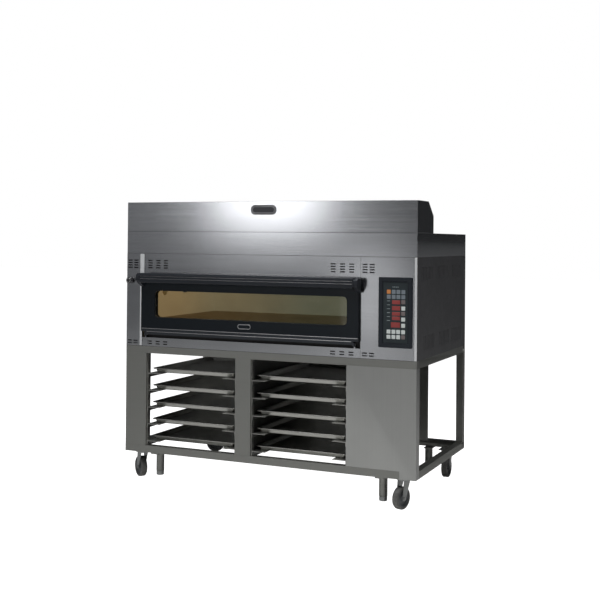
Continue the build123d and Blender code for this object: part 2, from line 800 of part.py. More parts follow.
def pane_block(start, grow, margin):
    """A window pane, or its groove when grown by a margin."""
    x, z = window_limits()
    reach = grow + margin
    return block((x[0] - reach, x[1] + reach), (start - margin / 5, start + pane_thickness + margin / 5),
                 (z[0] - reach, z[1] + reach))


def door_glass():
    """The outer and inner panes, held in the door frame's grooves."""
    return [pane_block(start, window_corner, 0)
            for start in (front - 2 * sheet, front + door_back - 2 * pane_thickness)]


def badge(x, y, z, width, height, thickness):
    """A blank plate with round ends, lying against a front face at y."""
    plate = block((x - width / 2, x + width / 2), (y - thickness, y), (z - height / 2, z + height / 2))
    return fillet(plate.edges().filter_by(Axis.Y), height / 2 - sheet)


def door_front_panel():
    """The dark front cover round the window, with the blank badge under the window."""
    y = (front - door_front, front - door_front + door_skin)
    cover = block((door_left, door_right), y, (door_low + door_strip, door_high))
    cover -= rounded_opening((front - 2 * door_front, front), 0)
    plate_z = (door_low + door_strip + window_limits()[1][0]) / 2
    return [cover, badge(door_middle, front - door_front, plate_z, door_badge_width, door_badge_height,
                         badge_thickness)]


def handle_limits():
    """The handle's height limits and its front and back planes."""
    high = door_high + handle_rise
    y_front = front - handle_reach
    return (high - handle_height, high), (y_front, y_front + handle_thickness)


def handle_bar():
    """A long bar with a rounded front, between the brackets."""
    z, y = handle_limits()
    left_bracket, right_bracket = bracket_places()
    profile = block((left_bracket[1], right_bracket[0]), y, z)
    return fillet(profile.edges().filter_by(Axis.X), handle_thickness / 3)


def bracket_places():
    """The left and right brackets' limits along the door."""
    left_outer = door_left - bracket_overhang_left
    right_outer = door_right + bracket_overhang_right
    return (left_outer, left_outer + bracket_width), (right_outer - bracket_width, right_outer)


def handle_brackets():
    """Fan-shaped end plates from the door's face to the bar's ends."""
    z, y = handle_limits()
    face = front - door_front
    nose = handle_thickness / 2
    outline = Polyline((face, z[1] - bracket_height), (y[0] + nose, z[0]), (y[0], z[0] + nose), (y[0], z[1] - nose),
                       (y[0] + nose, z[1] - sheet), (face, z[1] - sheet), close=True)
    return [Pos(x[0], 0, 0) * extrude(make_face(Plane.YZ * outline), amount=bracket_width, dir=(1, 0, 0))
            for x in bracket_places()]


def hinge_pins():
    """Two pins, fixed in the door's lugs, that turn in the hinge plates."""
    pins = []
    left_plate, right_plate = hinge_plate_places()
    left_lug, right_lug = hinge_lug_places()
    pins.append(bar((left_plate - sheet, hinge_y, hinge_z), "x", left_lug + hinge_lug - left_plate + sheet,
                    hinge_pin_radius))
    pins.append(bar((right_lug, hinge_y, hinge_z), "x", right_plate + hinge_plate + sheet - right_lug,
                    hinge_pin_radius))
    return pins


def door_seal():
    """A flat gasket round the chamber's mouth, just clear of the shut door."""
    y = (front + door_back + seal_clearance, flange_front)
    x = (chamber_left + sheet - seal_width, chamber_right - sheet + seal_width)
    z = (hearth_low - seal_width, mouth_high + seal_width)
    ring = block(x, y, z)
    return ring - block((x[0] + seal_width, x[1] - seal_width), (y[0] - sheet, y[1] + sheet),
                        (z[0] + seal_width, z[1] - seal_width))


# --- Hood ------------------------------------------------------------------------------------------------
def hood_collar():
    """The collar all round the oven's roof, with a lid that is open under the hood box."""
    outer = block((left, right), (front, rear), (body_top, collar_top))
    inner = block((left + sheet, right - sheet), (front + sheet, rear - sheet),
                  (body_top - sheet, collar_top - sheet))
    mouth = block((left + tube, right - tube), (front + tube, front + hood_depth - tube),
                  (collar_top - 2 * sheet, collar_top + sheet))
    return outer - inner - mouth


def hood_profile(inset, base):
    """The hood box in side view, as a face in the YZ plane."""
    points = [(front + inset, base), (front + inset, hood_top - inset), (front + hood_flat, hood_top - inset),
              (front + hood_depth - inset, hood_top - hood_drop - inset / 2), (front + hood_depth - inset, base)]
    return make_face(Plane.YZ * Polyline(*points, close=True))


def hood_box():
    """A long shallow box, open below, with a sloped rear shoulder."""
    outer = Pos(left, 0, 0) * extrude(hood_profile(0, collar_top), amount=body_width, dir=(1, 0, 0))
    inner = Pos(left + sheet, 0, 0) * extrude(hood_profile(sheet, collar_top - sheet),
                                              amount=body_width - 2 * sheet, dir=(1, 0, 0))
    return outer - inner


def main():
    os.makedirs("parts", exist_ok=True)
    save("stand_frame", *stand_frame())
    save("stand_left_column", stand_left_column())
    save("stand_centre_post", stand_centre_post())
    save("stand_right_panel", stand_right_panel())
    save("centre_partition", centre_partition())
    save("service_partition", service_partition())
    save("tray_rack_left", *tray_rack(bay_left, bay_right))
    save("tray_rack_right", *tray_rack(rack_left, rack_right))
    for side, centre in (("left", (bay_left + bay_right) / 2 + left_tray_shift),
                         ("right", (rack_left + rack_right) / 2)):
        for level in range(tray_levels):
            save(f"baking_tray_{side}_{level + 1}", baking_tray(centre, level))
    save("caster_plates", *caster_plates())
    for name, (x, y) in corners(caster_inset_x, caster_inset_y).items():
        save(f"caster_fork_{name}", *caster_fork(x, y, caster_turns[name]))
        save(f"caster_wheel_{name}", *caster_wheel(x, y, caster_turns[name]))
    for name, (x, y) in corners(foot_inset_x, foot_inset_y).items():
        save(f"screw_foot_{name}", screw_foot(x, y))
    save("base_pan", base_pan())
    save("left_side_panel", left_side_panel())
    save("right_side_panel", right_side_panel())
    save("rear_panel", rear_panel())
    save("top_panel", top_panel())
    save("left_pillar", left_pillar())
    save("upper_fascia", upper_fascia())
    save("lower_fascia", lower_fascia())
    save("control_column", control_column())
    save("control_bezel", control_bezel())
    save("keypad_panel", keypad_panel())
    save("electrical_parts", *electrical_parts())
    save("baking_chamber", baking_chamber())
    save("hearth_stones", *hearth_stones())
    save("heating_elements", *heating_elements())
    save("insulation", *insulation())
    save("chamber_lamp", *chamber_lamp())
    save("steam_duct", steam_duct())
    save("damper", *damper())
    save("door_frame", door_frame())
    save("door_front_panel", *door_front_panel())
    save("door_glass", *door_glass())
    save("handle_bar", handle_bar())
    save("handle_brackets", *handle_brackets())
    save("hinge_pins", *hinge_pins())
    save("door_seal", door_seal())
    save("hood_collar", hood_collar())
    save("hood_box", hood_box())
    save("hood_badge", badge(0, front, collar_top + badge_lift, badge_width, badge_height, badge_thickness))


main()
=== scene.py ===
import json
import math
import bmesh
import bpy
from mathutils import Matrix, Vector


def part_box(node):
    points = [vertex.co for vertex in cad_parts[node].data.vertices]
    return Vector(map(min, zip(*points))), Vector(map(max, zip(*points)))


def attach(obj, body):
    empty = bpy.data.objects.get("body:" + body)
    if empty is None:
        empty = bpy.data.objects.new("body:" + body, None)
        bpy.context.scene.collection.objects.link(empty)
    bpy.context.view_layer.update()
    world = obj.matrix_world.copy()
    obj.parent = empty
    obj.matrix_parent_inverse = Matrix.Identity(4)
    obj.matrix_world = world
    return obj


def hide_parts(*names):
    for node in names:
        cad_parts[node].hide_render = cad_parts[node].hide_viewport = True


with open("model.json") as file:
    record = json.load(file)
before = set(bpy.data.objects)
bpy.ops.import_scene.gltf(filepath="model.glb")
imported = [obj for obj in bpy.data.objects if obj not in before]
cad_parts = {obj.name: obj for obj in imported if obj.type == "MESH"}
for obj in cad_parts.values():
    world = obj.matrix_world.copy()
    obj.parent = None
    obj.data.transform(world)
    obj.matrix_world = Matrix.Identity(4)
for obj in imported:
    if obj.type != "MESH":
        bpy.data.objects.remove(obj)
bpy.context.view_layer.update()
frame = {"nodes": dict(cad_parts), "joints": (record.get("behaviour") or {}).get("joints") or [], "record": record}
record = frame["record"]
bodyOf = {node: body for body, nodes in record["behaviour"]["bodies"].items() for node in nodes}
slotOf = {part["node"]: part["material_slot"] for part in record["subparts"]}
jointOf = {joint["name"]: joint for joint in frame["joints"]}


# --- small helpers for node trees
def newGroup(name, inputs, outputs):
    tree = bpy.data.node_groups.new(name, "ShaderNodeTree")
    for label, kind, value in inputs:
        socket = tree.interface.new_socket(label, in_out="INPUT", socket_type=kind)
        if value is not None:
            socket.default_value = value
    for label, kind in outputs:
        tree.interface.new_socket(label, in_out="OUTPUT", socket_type=kind)
    return tree, tree.nodes.new("NodeGroupInput"), tree.nodes.new("NodeGroupOutput")


def addNode(tree, kind, **settings):
    node = tree.nodes.new(kind)
    for key, value in settings.items():
        setattr(node, key, value)
    return node


def mathNode(tree, operation, first, second=None):
    node = addNode(tree, "ShaderNodeMath", operation=operation)
    for index, value in enumerate((first, second)):
        if value is None:
            continue
        if isinstance(value, (int, float)):
            node.inputs[index].default_value = value
        else:
            tree.links.new(value, node.inputs[index])
    return node.outputs[0]


def mixColour(tree, factor, first, second):
    node = addNode(tree, "ShaderNodeMix", data_type="RGBA")
    for socket, value in ((node.inputs[0], factor), (node.inputs[6], first), (node.inputs[7], second)):
        if isinstance(value, (int, float)):
            socket.default_value = value
        elif isinstance(value, tuple):
            socket.default_value = value
        else:
            tree.links.new(value, socket)
    return node.outputs[2]


def mapRange(tree, value, fromLow, fromHigh, toLow=0.0, toHigh=1.0):
    node = addNode(tree, "ShaderNodeMapRange")
    tree.links.new(value, node.inputs["Value"])
    for label, amount in (("From Min", fromLow), ("From Max", fromHigh),
                          ("To Min", toLow), ("To Max", toHigh)):
        node.inputs[label].default_value = amount
    return node.outputs[0]


# --- camera, light and floor
viewValues = {"spot": (2.316, -5.1345, 1.300), "yaw": 24.06, "pitch": 0.67, "roll": 0.49, "lens": 61.49,
              "shift": -0.1193}
lightValues = {
    "softbox": {"at": (-2.5, -5.6, 2.65), "aim": (-1.85, -0.4, 2.4), "size": (1.15, 2.4), "power": 32},
    "lowCard": {"at": (-1.32, -5.6, 0.75), "aim": (-0.87, -0.4, 0.9), "size": (0.62, 0.9), "power": 1.8},
    "topLight": {"at": (0.9, -1.6, 4.6), "aim": (0.7, -1.2, 0.0), "size": (3.6, 3.6), "power": 190},
}
floorValues = {"paper": (0.90, 0.90, 0.89), "roughness": 0.9, "size": 60.0, "fadeFrom": (1.5, 6.0),
               "nearGlow": 1.2}
roomValues = {"overallGlow": -0.37, "leftGlow": 0.95, "behindGlow": 0.5, "lowestGlow": 0.05, "backGlow": 1.0,
              "tint": (0.95, 0.97, 1.0, 1)}


def makeCamera(values):
    data = bpy.data.cameras.new("ovenView")
    camera = bpy.data.objects.new("ovenView", data)
    bpy.context.scene.collection.objects.link(camera)
    yaw, pitch, roll = (math.radians(values[key]) for key in ("yaw", "pitch", "roll"))
    ahead = Vector((-math.sin(yaw) * math.cos(pitch), math.cos(yaw) * math.cos(pitch), math.sin(pitch)))
    side = Vector((math.cos(yaw), math.sin(yaw), 0.0))
    up = side.cross(ahead)
    turnedSide = side * math.cos(roll) + up * math.sin(roll)
    turnedUp = up * math.cos(roll) - side * math.sin(roll)
    turn = Matrix((turnedSide, turnedUp, -ahead)).transposed().to_4x4()
    camera.matrix_world = Matrix.Translation(values["spot"]) @ turn
    data.lens = values["lens"]
    data.sensor_width = 36.0
    data.shift_y = values["shift"]
    data.clip_end = 200.0
    bpy.context.scene.camera = camera


def makeLight(name, values):
    data = bpy.data.lights.new(name, "AREA")
    data.shape = "RECTANGLE"
    data.size, data.size_y = values["size"]
    data.energy = values["power"]
    light = bpy.data.objects.new(name, data)
    light.location = values["at"]
    toward = Vector(values["aim"]) - Vector(values["at"])
    light.rotation_euler = toward.to_track_quat("-Z", "Y").to_euler()
    bpy.context.scene.collection.objects.link(light)


def makeFloor(values):
    half = values["size"] / 2
    mesh = bpy.data.meshes.new("studioFloor")
    corners = [(-half, -half, 0), (half, -half, 0), (half, half, 0), (-half, half, 0)]
    mesh.from_pydata(corners, [], [(0, 1, 2, 3)])
    floor = bpy.data.objects.new("studioFloor", mesh)
    bpy.context.scene.collection.objects.link(floor)
    paper = bpy.data.materials.new("studioPaper")
    paper.use_nodes = True
    tree = paper.node_tree
    shader = tree.nodes["Principled BSDF"]
    shader.inputs["Base Color"].default_value = (*values["paper"], 1)
    shader.inputs["Roughness"].default_value = values["roughness"]
    shader.inputs["Emission Color"].default_value = (1, 1, 1, 1)
    # painted light: to the camera the floor glows brighter near the oven, which washes out the oven's shadow
    away = addNode(tree, "ShaderNodeVectorMath", operation="LENGTH")
    tree.links.new(addNode(tree, "ShaderNodeTexCoord").outputs["Object"], away.inputs[0])
    fade = mapRange(tree, away.outputs["Value"], *values["fadeFrom"], values["nearGlow"])
    seen = addNode(tree, "ShaderNodeLightPath").outputs["Is Camera Ray"]   # the glow lights nothing else
    tree.links.new(mathNode(tree, "MULTIPLY", fade, seen), shader.inputs["Emission Strength"])
    mesh.materials.append(paper)


def makeRoom(values):
    # white to the camera, and to the steel a glow that grows towards the left
    world = bpy.data.worlds.new("studioRoom")
    bpy.context.scene.world = world
    world.use_nodes = True
    tree = world.node_tree
    nodes, links = tree.nodes, tree.links
    nodes.clear()
    seen = nodes.new("ShaderNodeBackground")
    seen.inputs["Color"].default_value = (1, 1, 1, 1)
    seen.inputs["Strength"].default_value = values["backGlow"]
    glow = nodes.new("ShaderNodeBackground")
    glow.inputs["Color"].default_value = values["tint"]
    facing = nodes.new("ShaderNodeSeparateXYZ")
    links.new(nodes.new("ShaderNodeTexCoord").outputs["Generated"], facing.inputs[0])
    leftward = mathNode(tree, "MULTIPLY", facing.outputs["X"], -values["leftGlow"])
    forward = mapRange(tree, facing.outputs["Y"], 0.25, -0.35, values["behindGlow"], 1.0)
    level = mathNode(tree, "MAXIMUM", mathNode(tree, "ADD", leftward, values["overallGlow"]),
                     values["lowestGlow"])
    links.new(mathNode(tree, "MULTIPLY", level, forward), glow.inputs["Strength"])
    path = nodes.new("ShaderNodeLightPath")
    mix = nodes.new("ShaderNodeMixShader")
    out = nodes.new("ShaderNodeOutputWorld")
    links.new(path.outputs["Is Camera Ray"], mix.inputs["Fac"])
    links.new(glow.outputs[0], mix.inputs[1])
    links.new(seen.outputs[0], mix.inputs[2])
    links.new(mix.outputs[0], out.inputs["Surface"])
    bpy.context.scene.view_settings.view_transform = "Standard"


makeCamera(viewValues)
for lightName, lightParts in lightValues.items():
    makeLight(lightName, lightParts)
makeFloor(floorValues)
makeRoom(roomValues)
print("studio ready")


# --- effects that several finishes share, each a node group
def makeGrainGroup():
    # fine parallel scratches: noise squeezed across one direction, with a few longer ones
    number, vector = "NodeSocketFloat", "NodeSocketVector"
    tree, given, result = newGroup(
        "brushedGrain",
        [("Place", vector, None), ("Squeeze", vector, (3.0, 3.0, 900.0)), ("Depth", number, 0.5)],
        [("Streaks", number), ("Roughness Shift", number), ("Height", number)])
    squeeze = addNode(tree, "ShaderNodeVectorMath", operation="MULTIPLY")
    tree.links.new(given.outputs["Place"], squeeze.inputs[0])
    tree.links.new(given.outputs["Squeeze"], squeeze.inputs[1])
    fine = addNode(tree, "ShaderNodeTexNoise")
    fine.inputs["Scale"].default_value = 1.0
    fine.inputs["Detail"].default_value = 3.0
    tree.links.new(squeeze.outputs[0], fine.inputs["Vector"])
    broad = addNode(tree, "ShaderNodeVectorMath", operation="SCALE")
    broad.inputs["Scale"].default_value = 0.21
    tree.links.new(squeeze.outputs[0], broad.inputs[0])
    long = addNode(tree, "ShaderNodeTexNoise")
    long.inputs["Scale"].default_value = 1.0
    long.inputs["Detail"].default_value = 2.0
    tree.links.new(broad.outputs[0], long.inputs["Vector"])
    both = mathNode(tree, "ADD", mathNode(tree, "MULTIPLY", fine.outputs[0], 0.65),
                    mathNode(tree, "MULTIPLY", long.outputs[0], 0.35))
    centred = mathNode(tree, "MULTIPLY", mathNode(tree, "SUBTRACT", both, 0.5), given.outputs["Depth"])
    tree.links.new(centred, result.inputs["Streaks"])
    tree.links.new(mathNode(tree, "MULTIPLY", centred, 0.8), result.inputs["Roughness Shift"])
    tree.links.new(both, result.inputs["Height"])
    return tree


def makeHandlingGroup():
    # soft cloudy patches and small smudges that handling and wiping leave
    number, vector = "NodeSocketFloat", "NodeSocketVector"
    tree, given, result = newGroup(
        "handlingMarks", [("Place", vector, None), ("Patch Size", number, 3.0), ("Amount", number, 0.2)],
        [("Cloud", number), ("Smudge", number)])
    cloud = addNode(tree, "ShaderNodeTexNoise")
    cloud.inputs["Detail"].default_value = 4.0
    tree.links.new(given.outputs["Place"], cloud.inputs["Vector"])
    tree.links.new(given.outputs["Patch Size"], cloud.inputs["Scale"])
    smudge = addNode(tree, "ShaderNodeTexNoise")
    smudge.inputs["Detail"].default_value = 6.0
    smudge.inputs["Distortion"].default_value = 0.8
    tree.links.new(given.outputs["Place"], smudge.inputs["Vector"])
    tree.links.new(mathNode(tree, "MULTIPLY", given.outputs["Patch Size"], 5.0), smudge.inputs["Scale"])
    for source, label in ((cloud, "Cloud"), (smudge, "Smudge")):
        shifted = mathNode(tree, "MULTIPLY", mathNode(tree, "SUBTRACT", source.outputs[0], 0.5),
                           given.outputs["Amount"])
        tree.links.new(shifted, result.inputs[label])
    return tree


def makeFloorDustGroup():
    # a grey film that grows towards the floor
    number, vector = "NodeSocketFloat", "NodeSocketVector"
    tree, given, result = newGroup(
        "floorDust", [("Place", vector, None), ("Reach", number, 0.25), ("Amount", number, 0.3)],
        [("Dust", number)])
    split = addNode(tree, "ShaderNodeSeparateXYZ")
    tree.links.new(given.outputs["Place"], split.inputs[0])
    climb = mathNode(tree, "DIVIDE", split.outputs["Z"], given.outputs["Reach"])
    fall = mathNode(tree, "SUBTRACT", 1.0, climb)
    held = addNode(tree, "ShaderNodeClamp")
    tree.links.new(fall, held.inputs[0])
    speck = addNode(tree, "ShaderNodeTexNoise")
    speck.inputs["Scale"].default_value = 60.0
    tree.links.new(given.outputs["Place"], speck.inputs["Vector"])
    dusty = mathNode(tree, "MULTIPLY", mathNode(tree, "MULTIPLY", held.outputs[0], speck.outputs[0]),
                     given.outputs["Amount"])
    tree.links.new(dusty, result.inputs["Dust"])
    return tree


grainGroup = makeGrainGroup()
handlingGroup = makeHandlingGroup()
dustGroup = makeFloorDustGroup()


def useGroup(tree, group, place, **values):
    node = addNode(tree, "ShaderNodeGroup", node_tree=group)
    tree.links.new(place, node.inputs["Place"])
    for label, value in values.items():
        node.inputs[label.replace("_", " ")].default_value = value
    return node


def startFinish(name):
    material = bpy.data.materials.new(name)
    material.use_nodes = True
    tree = material.node_tree
    shader = tree.nodes["Principled BSDF"]
    place = tree.nodes.new("ShaderNodeTexCoord").outputs["Object"]
    return material, tree, shader, place


def feedTone(tree, shader, colour, shift):
    # brightens and darkens one colour by a shift about zero
    scaled = addNode(tree, "ShaderNodeVectorMath", operation="SCALE")
    scaled.inputs[0].default_value = colour
    tree.links.new(mathNode(tree, "ADD", 1.0, shift), scaled.inputs["Scale"])
    tree.links.new(scaled.outputs[0], shader.inputs["Base Color"])
    return scaled.outputs[0]


def addBump(tree, shader, height, strength, distance):
    bump = addNode(tree, "ShaderNodeBump")
    bump.inputs["Strength"].default_value = strength
    bump.inputs["Distance"].default_value = distance
    tree.links.new(height, bump.inputs["Height"])
    tree.links.new(bump.outputs[0], shader.inputs["Normal"])


# --- finishes
squeezeAlongX = (2.5, 700.0, 700.0)
squeezeAlongY = (700.0, 2.5, 700.0)
squeezeAlongZ = (700.0, 700.0, 2.5)
steelDust, paintDust = (0.32, 0.31, 0.29, 1), (0.30, 0.29, 0.27, 1)


def brushedSteel(name, colour, roughness, squeeze, metallic=1.0, streaks=0.5, patches=0.2, dust=0.0):
    material, tree, shader, place = startFinish(name)
    grain = useGroup(tree, grainGroup, place, Squeeze=squeeze, Depth=streaks)
    marks = useGroup(tree, handlingGroup, place, Patch_Size=2.2, Amount=patches)
    film = useGroup(tree, dustGroup, place, Reach=0.3, Amount=dust)
    shift = mathNode(tree, "ADD", grain.outputs["Streaks"], marks.outputs["Cloud"])
    tone = feedTone(tree, shader, colour, shift)
    tree.links.new(mixColour(tree, film.outputs["Dust"], tone, steelDust), shader.inputs["Base Color"])
    rough = mathNode(tree, "ADD", grain.outputs["Roughness Shift"], roughness)
    rough = mathNode(tree, "ADD", rough, mathNode(tree, "MULTIPLY", marks.outputs["Smudge"], 0.5))
    tree.links.new(mathNode(tree, "ADD", rough, film.outputs["Dust"]), shader.inputs["Roughness"])
    shader.inputs["Metallic"].default_value = metallic
    addBump(tree, shader, grain.outputs["Height"], 0.025, 0.0003)
    return material


def paintedSkin(name, colour, roughness, pebble=0.0, coat=0.0, metallic=0.0, patches=0.3, dust=0.0,
                shine=0.5):
    material, tree, shader, place = startFinish(name)
    marks = useGroup(tree, handlingGroup, place, Patch_Size=6.0, Amount=patches)
    film = useGroup(tree, dustGroup, place, Reach=0.2, Amount=dust)
    tone = feedTone(tree, shader, colour, marks.outputs["Cloud"])
    tree.links.new(mixColour(tree, film.outputs["Dust"], tone, paintDust), shader.inputs["Base Color"])
    tree.links.new(mathNode(tree, "ADD", mathNode(tree, "MULTIPLY", marks.outputs["Smudge"], 0.6), roughness),
                   shader.inputs["Roughness"])
    shader.inputs["Metallic"].default_value = metallic
    shader.inputs["Coat Weight"].default_value = coat
    shader.inputs["Coat Roughness"].default_value = 0.08
    shader.inputs["Specular IOR Level"].default_value = shine
    grit = addNode(tree, "ShaderNodeTexNoise")
    grit.inputs["Scale"].default_value = 900.0
    tree.links.new(place, grit.inputs["Vector"])
    addBump(tree, shader, grit.outputs[0], pebble, 0.0006)
    return material


def clearGlass(name, tint, roughness=0.03):
    material, tree, shader, place = startFinish(name)
    marks = useGroup(tree, handlingGroup, place, Patch_Size=5.0, Amount=0.3)
    feedTone(tree, shader, tint, marks.outputs["Cloud"])
    wiped = mathNode(tree, "MULTIPLY", marks.outputs["Smudge"], 0.15)
    tree.links.new(mathNode(tree, "ADD", wiped, roughness),
                   shader.inputs["Roughness"])
    shader.inputs["Transmission Weight"].default_value = 1.0
    shader.inputs["IOR"].default_value = 1.2
    return material


# the warm and cool colours and the glow strength are painted lamp light on the inside of the chamber
linerValues = {"steel": (0.30, 0.25, 0.17), "warm": (0.62, 0.42, 0.22, 1), "cool": (0.24, 0.25, 0.19, 1),
               "glow": 0.35, "reach": (0.15, 0.85), "mouth": -0.376, "belowHearth": 0.001}


def lampLitLiner(name, lampAt, values):
    # heat-tinted steel with the lamp's light painted on as a soft glow: warm beside the lamp, dim olive far from
    # it
    material, tree, shader, place = startFinish(name)
    grain = useGroup(tree, grainGroup, place, Squeeze=squeezeAlongX, Depth=0.4)
    marks = useGroup(tree, handlingGroup, place, Patch_Size=4.0, Amount=0.35)
    shift = mathNode(tree, "ADD", grain.outputs["Streaks"], marks.outputs["Cloud"])
    feedTone(tree, shader, values["steel"], shift)
    away = addNode(tree, "ShaderNodeVectorMath", operation="DISTANCE")
    tree.links.new(place, away.inputs[0])
    away.inputs[1].default_value = lampAt
    far = mapRange(tree, away.outputs["Value"], *values["reach"])
    glow = mixColour(tree, far, values["warm"], values["cool"])
    split = addNode(tree, "ShaderNodeSeparateXYZ")   # nothing glows on the chamber's outside
    tree.links.new(place, split.inputs[0])
    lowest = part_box("hearth_stones")[0].z - values["belowHearth"]
    above = mathNode(tree, "GREATER_THAN", split.outputs["Z"], lowest)
    behind = mathNode(tree, "GREATER_THAN", split.outputs["Y"], values["mouth"])
    inside = mathNode(tree, "MULTIPLY", above, behind)
    tree.links.new(mixColour(tree, inside, (0, 0, 0, 1), glow), shader.inputs["Emission Color"])
    shader.inputs["Emission Strength"].default_value = values["glow"]
    shader.inputs["Metallic"].default_value = 0.6
    shader.inputs["Roughness"].default_value = 0.5
    addBump(tree, shader, grain.outputs["Height"], 0.1, 0.0005)
    return material


lampLow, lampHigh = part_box("chamber_lamp")
lampSpot = ((lampLow + lampHigh) / 2)[:]
finishes = {
    "stand_steel": brushedSteel("standSteel", (0.25, 0.252, 0.238), 0.46, squeezeAlongX, streaks=0.2,
                                patches=0.1, dust=0.2),
    "rack_steel": brushedSteel("rackSteel", (0.46, 0.46, 0.44), 0.42, squeezeAlongY, patches=0.2),
    "caster_zinc": paintedSkin("zincPlate", (0.30, 0.31, 0.31), 0.42, pebble=0.1, metallic=0.85, dust=0.4),
    "plain_steel": brushedSteel("millSteel", (0.42, 0.42, 0.43), 0.45, squeezeAlongX, patches=0.25),
    "body_steel": brushedSteel("frontSteel", (0.55, 0.56, 0.585), 0.2, squeezeAlongX, streaks=0.16,
                               patches=0.05),
    # the sides' dark colour is painted shade: the same steel as the front, darkened as it stands in shadow
    "side_steel": paintedSkin("sideSteel", (0.080, 0.080, 0.085), 0.5, pebble=0.08, metallic=0.3),
    "bezel_black": paintedSkin("bezelBlack", (0.014, 0.018, 0.024), 0.45, pebble=0.2, shine=0.25),
    "keypad_film": paintedSkin("keypadFilm", (0.022, 0.030, 0.034), 0.5, pebble=0.1, shine=0.25),
    "electrical_plastic": paintedSkin("mouldedGrey", (0.22, 0.23, 0.24), 0.5, pebble=0.3),
    "chamber_steel": lampLitLiner("chamberSteel", lampSpot, linerValues),
    "hearth_stone": paintedSkin("hearthStone", (0.42, 0.33, 0.22), 0.85, pebble=0.8, patches=0.5),
    "heater_alloy": paintedSkin("heaterAlloy", (0.12, 0.09, 0.07), 0.6, pebble=0.2, metallic=0.6),
    "mineral_wool": paintedSkin("mineralWool", (0.075, 0.070, 0.060), 0.95, pebble=1.0, patches=0.6),
    "lamp_glass": paintedSkin("lampGlass", (0.9, 0.75, 0.45), 0.3),
    "seal_rubber": paintedSkin("sealRubber", (0.03, 0.03, 0.03), 0.7, pebble=0.3),
    "badge_dark": paintedSkin("badgeDark", (0.035, 0.035, 0.04), 0.4, pebble=0.5, metallic=0.3),
    "door_metal": paintedSkin("doorMetal", (0.034, 0.038, 0.044), 0.38, pebble=0.1, metallic=0.5, shine=0.3),
    "door_black": paintedSkin("doorBlack", (0.0055, 0.0085, 0.012), 0.3, coat=0.05, patches=0.1, shine=0.22),
    "door_glass": clearGlass("doorGlass", (0.88, 0.90, 0.86)),
    "handle_black": paintedSkin("handleBlack", (0.020, 0.023, 0.029), 0.36, pebble=0.12, metallic=0.3,
                                shine=0.3),
    "knob_black": paintedSkin("knobBlack", (0.02, 0.02, 0.022), 0.35, pebble=0.2),
    "tray_steel": brushedSteel("traySteel", (0.42, 0.42, 0.395), 0.35, squeezeAlongY, patches=0.4),
    "wheel_rubber": paintedSkin("wheelRubber", (0.035, 0.038, 0.040), 0.62, pebble=0.35, dust=0.9),
}
finishes.update({
    "bright_strip": brushedSteel("brightStrip", (0.80, 0.81, 0.82), 0.5, squeezeAlongZ, streaks=0.15,
                                 patches=0.05),
    "key_grey": paintedSkin("keyGrey", (0.17, 0.20, 0.23), 0.5, pebble=0.1),
    "key_pale": paintedSkin("keyPale", (0.62, 0.66, 0.65), 0.5, pebble=0.1),
    "key_dim": paintedSkin("keyDim", (0.16, 0.13, 0.13), 0.5, pebble=0.1),
    "key_orange": paintedSkin("keyOrange", (0.60, 0.22, 0.06), 0.5, pebble=0.1),
    "display_red": paintedSkin("displayRed", (0.26, 0.028, 0.025), 0.3, coat=0.3),
    "tick_grey": paintedSkin("tickGrey", (0.22, 0.26, 0.27), 0.5),
    # panel_steel is a paler copy of the stand steel with upright grain: painted light for a panel that takes more
    # light
    "panel_steel": brushedSteel("panelSteel", (0.34, 0.343, 0.335), 0.42, squeezeAlongZ, streaks=0.2,
                                patches=0.25),
    "hub_grey": paintedSkin("hubGrey", (0.12, 0.125, 0.13), 0.5, pebble=0.3),
})
# painted light: the right stand panel gets the paler steel where it takes more light
paintedLightNodes = {"stand_right_panel": "panel_steel"}  # its grain runs upright and takes more light
for nodeName, node in frame["nodes"].items():
    node.data.materials.clear()
    node.data.materials.append(finishes[paintedLightNodes.get(nodeName, slotOf[nodeName])])
print("finishes on", len(frame["nodes"]), "nodes")


def addPiece(name, mesh, slotName, body, *replaced, smoothAngle=None):
    piece = bpy.data.objects.new(name, mesh)
    bpy.context.scene.collection.objects.link(piece)
    mesh.materials.clear()
    mesh.materials.append(finishes[slotName])
    if smoothAngle:
        mesh.shade_smooth()
        mesh.set_sharp_from_angle(angle=math.radians(smoothAngle))
    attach(piece, body)
    if replaced:
        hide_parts(*replaced)
    return piece


def meshFrom(name, build):
    work = bmesh.new()
    build(work)
    bmesh.ops.recalc_face_normals(work, faces=work.faces)
    mesh = bpy.data.meshes.new(name)
    work.to_mesh(mesh)
    work.free()
    return mesh


def bakedMesh(source, name):
    graph = bpy.context.evaluated_depsgraph_get()
    graph.update()
    mesh = bpy.data.meshes.new_from_object(source.evaluated_get(graph), depsgraph=graph)
    mesh.name = name
    return mesh


def softenNode(nodeName, width, segments=2):
    # a merged copy of the node with small rounded edges
    node = frame["nodes"][nodeName]
    work = bmesh.new()
    work.from_mesh(node.data)
    bmesh.ops.remove_doubles(work, verts=work.verts, dist=0.00002)
    bmesh.ops.dissolve_limit(work, angle_limit=math.radians(1), verts=work.verts, edges=work.edges)
    bmesh.ops.recalc_face_normals(work, faces=work.faces)
    mesh = bpy.data.meshes.new(nodeName + "Rough")
    work.to_mesh(mesh)
    work.free()
    rough = bpy.data.objects.new(nodeName + "Rough", mesh)
    bpy.context.scene.collection.objects.link(rough)
    bevel = rough.modifiers.new("edges", "BEVEL")
    bevel.width = width
    bevel.segments = segments
    bevel.limit_method = "ANGLE"
    bevel.angle_limit = math.radians(35)
    bevel.use_clamp_overlap = True
    soft = bakedMesh(rough, nodeName + "Soft")
    bpy.data.objects.remove(rough)
    finish = paintedLightNodes.get(nodeName, slotOf[nodeName])
    return addPiece(nodeName + "Soft", soft, finish, bodyOf[nodeName], nodeName, smoothAngle=24)


def ringLoop(work, points):
    return [work.verts.new(point) for point in points]


